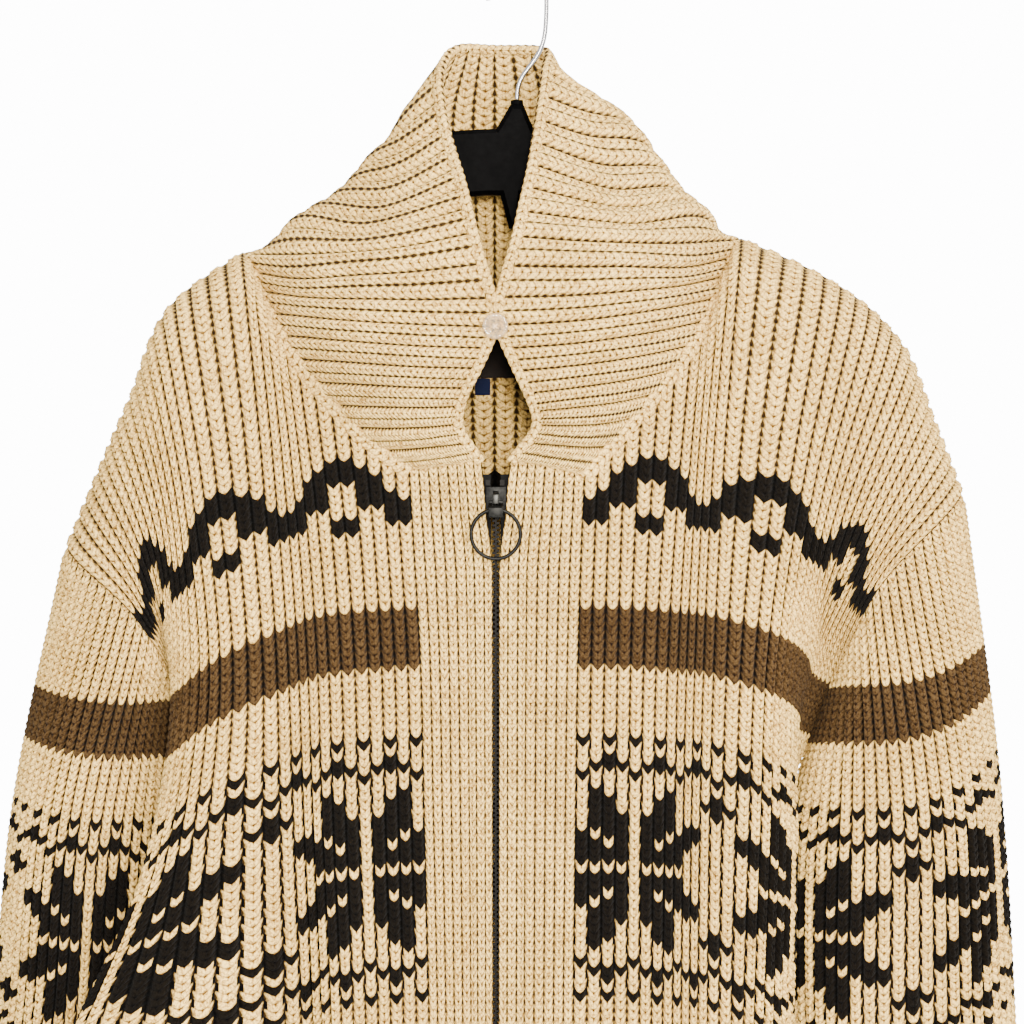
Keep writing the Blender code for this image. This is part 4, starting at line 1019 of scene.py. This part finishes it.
def wovenMaterial(name, colour, scale, roughness=0.85):
    # a plain woven tape or label
    material, tree, shader = newMaterial(name, colour, roughness)
    place = makeNode(tree, "ShaderNodeTexCoord").outputs["Object"]
    split = makeNode(tree, "ShaderNodeSeparateXYZ")
    tree.links.new(place, split.inputs[0])
    warp = calculate(tree, "SINE", calculate(tree, "MULTIPLY", split.outputs[0], scale))
    weft = calculate(tree, "SINE", calculate(tree, "MULTIPLY", split.outputs[2], scale))
    weave = calculate(tree, "MULTIPLY", warp, weft)
    stops = ((0.1, colour), (0.9, lighter(colour, 1.8, 0.002)))
    shade = rampOf(tree, calculate(tree, "MULTIPLY_ADD", weave, 0.5, 0.5), stops)
    tree.links.new(shade, shader.inputs["Base Color"])
    setInputs(shader, {"Specular IOR Level": 0.1})
    bumpOf(tree, shader, weave, 0.5, 0.0003)
    return material


def metalMaterial(name, colour, roughness, wear):
    # plated metal with fine brushed wear
    material, tree, shader = newMaterial(name, colour, roughness, 1.0)
    marks = noiseOf(tree, 700.0, 3.0, 0.6)
    stops = ((0.35, colour), (0.75, lighter(colour, wear)))
    tree.links.new(rampOf(tree, marks, stops), shader.inputs["Base Color"])
    rough = rampOf(tree, marks, ((0.3, (roughness,) * 3), (0.8, (roughness + 0.18,) * 3)))
    tree.links.new(rough, shader.inputs["Roughness"])
    bumpOf(tree, shader, marks, 0.15, 0.0001)
    return material


def plasticMaterial(name, colour, roughness):
    material, tree, shader = newMaterial(name, colour, roughness)
    grain = noiseOf(tree, 260.0, 3.0, 0.6)
    stops = ((0.3, colour), (0.75, lighter(colour, 1.25, 0.001)))
    tree.links.new(rampOf(tree, grain, stops), shader.inputs["Base Color"])
    bumpOf(tree, shader, grain, 0.12, 0.0002)
    return material


finishes = {
    "knit": knitMaterial("chunkyWool", wool),
    # the chains take the same painted shade, only at the outer edges of their valleys
    "chain": knitMaterial("woolChain", wool, valley=(0.90, 1.0)),
    "tape": wovenMaterial("zipTape", (0.002, 0.0019, 0.0019), 9000.0),
    "label": wovenMaterial("bareLabel", (0.008, 0.006, 0.005), 7000.0),
    "tab": wovenMaterial("sizeTab", (0.003, 0.005, 0.018), 7000.0),
    "gunmetal": metalMaterial("gunmetal", (0.007, 0.007, 0.0067), 0.36, 2.2),
    "crown": metalMaterial("brightCrown", (0.026, 0.026, 0.024), 0.34, 1.8),
    "teeth": metalMaterial("darkTeeth", (0.006, 0.0058, 0.0055), 0.5, 2.2),
    "chrome": metalMaterial("hookSteel", (0.24, 0.24, 0.245), 0.2, 1.4),
    "hanger": plasticMaterial("hangerPlastic", (0.0003, 0.0003, 0.0004), 0.5),
    "thread": wovenMaterial("buttonThread", (0.52, 0.36, 0.20), 12000.0),
    "button": plasticMaterial("paleButton", (0.90, 0.72, 0.48), 0.10),
}
extras = {"button": {"Transmission Weight": 0.88, "IOR": 1.48}, "hanger": {"Specular IOR Level": 0.012}}
for finish, values in extras.items():
    setInputs(finishes[finish].node_tree.nodes["Principled BSDF"], values)


def dress(piece, finish, body, nodes):
    piece.data.materials.clear()
    piece.data.materials.append(finishes[finish])
    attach(piece, body)
    if nodes:
        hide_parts(*nodes)


flats = {  # width and length of each piece of cloth before it was hung, in metres
    "front_left": (0.230, 0.700), "front_right": (0.230, 0.700), "back": (0.461, 0.700),
    "sleeve_left": (0.350, 0.583), "sleeve_right": (0.350, 0.583), "collar": (0.560, 0.150),
    "band_left": (0.043, 0.560), "band_right": (0.043, 0.560),
}
for key in flats:
    dress(pieces[key], "knit", "garment", (key,))

dressing = (  # finish, body, the CAD node it stands for, and slot
    ("neck_braid", "chain", "garment", (), "knit_wool"),
    ("collar_edge", "chain", "garment", (), "knit_wool"),
    ("zip_teeth", "teeth", "garment", ("zip_chain",), "zip_metal"),
    ("zip_stops", "teeth", "garment", (), "zip_metal"),
    ("slider", "gunmetal", "garment", ("zip_slider",), "zip_metal"),
    ("link", "gunmetal", "link", ("pull_link",), "zip_metal"),
    ("ring", "gunmetal", "ring", ("pull_ring",), "zip_metal"),
    ("button", "button", "garment", ("button",), "button_plastic"),
    ("thread", "thread", "garment", (), "knit_wool"),
    ("hook", "chrome", "garment", ("hook",), "hook_steel"),
)
for key, finish, bodyName, nodes, slotName in dressing:
    dress(pieces[key], finish, bodyName, nodes)

pieces["slider"].data.materials.append(finishes["crown"])
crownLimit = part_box("zip_slider")[0].y + pull["crownDepth"] * mm
for face in pieces["slider"].data.polygons:
    face.material_index = 1 if face.center.y < crownLimit else 0

keptNodes = {
    "zip_tape_left": "tape", "zip_tape_right": "tape", "neck_label": "label", "label_tab": "tab",
    "hanger": "hanger", "hook_ferrule": "hanger",
}
for node, finish in keptNodes.items():
    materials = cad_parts[node].data.materials
    materials.clear()
    materials.append(finishes[finish])

print("materials set and pieces riding")


studio = {"white": 14.0, "shine": 2.2, "warm": (1.0, 0.93, 0.84), "floorZ": -1.45, "floorSize": 14.0}
view = {"place": (-0.00286, -2.62, -0.3143), "lens": 159.95}

world = bpy.data.worlds.new("studioWorld")
world.use_nodes = True
backdrop = world.node_tree.nodes["Background"]
setInputs(backdrop, {"Color": (1, 1, 1, 1)})
seen = world.node_tree.nodes.new("ShaderNodeLightPath")  # the room is seen whiter than it shines on the cloth
strength = world.node_tree.nodes.new("ShaderNodeMapRange")
setInputs(strength, {"To Min": studio["shine"], "To Max": studio["white"]})
world.node_tree.links.new(seen.outputs["Is Camera Ray"], strength.inputs["Value"])
world.node_tree.links.new(strength.outputs[0], backdrop.inputs["Strength"])
bpy.context.scene.world = world

made = bmesh.new()
bmesh.ops.create_grid(made, x_segments=4, y_segments=4, size=studio["floorSize"] / 2)
floor = finishPiece(made, "pale_floor", smooth=False)
floor.location.z = studio["floorZ"]
floor.data.materials.append(newMaterial("paleFloor", (0.82, 0.82, 0.82), 0.8)[0])


def softLight(name, place, target, size, power):
    light = bpy.data.lights.new(name, "AREA")
    light.shape, light.size, light.energy = "SQUARE", size, power
    light.color = studio["warm"]
    obj = placeObject(name, light)
    obj.location = place
    obj.rotation_euler = (Vector(target) - Vector(place)).to_track_quat("-Z", "Y").to_euler()


softLight("keyLight", (1.6, -2.2, 1.4), (0, 0, -0.4), 0.9, 205)
softLight("fillLight", (-2.2, -2.0, 0.3), (0, 0, -0.45), 1.4, 20)
softLight("frontLight", (0.12, -2.5, -0.05), (0, 0, -0.40), 0.35, 148)

camera = bpy.data.cameras.new("viewCamera")
camera.sensor_width, camera.lens = 36.0, view["lens"]
cameraObject = placeObject("viewCamera", camera)
cameraObject.location = view["place"]
cameraObject.rotation_euler = (math.radians(90), 0, 0)
bpy.context.scene.camera = cameraObject
print("studio ready")
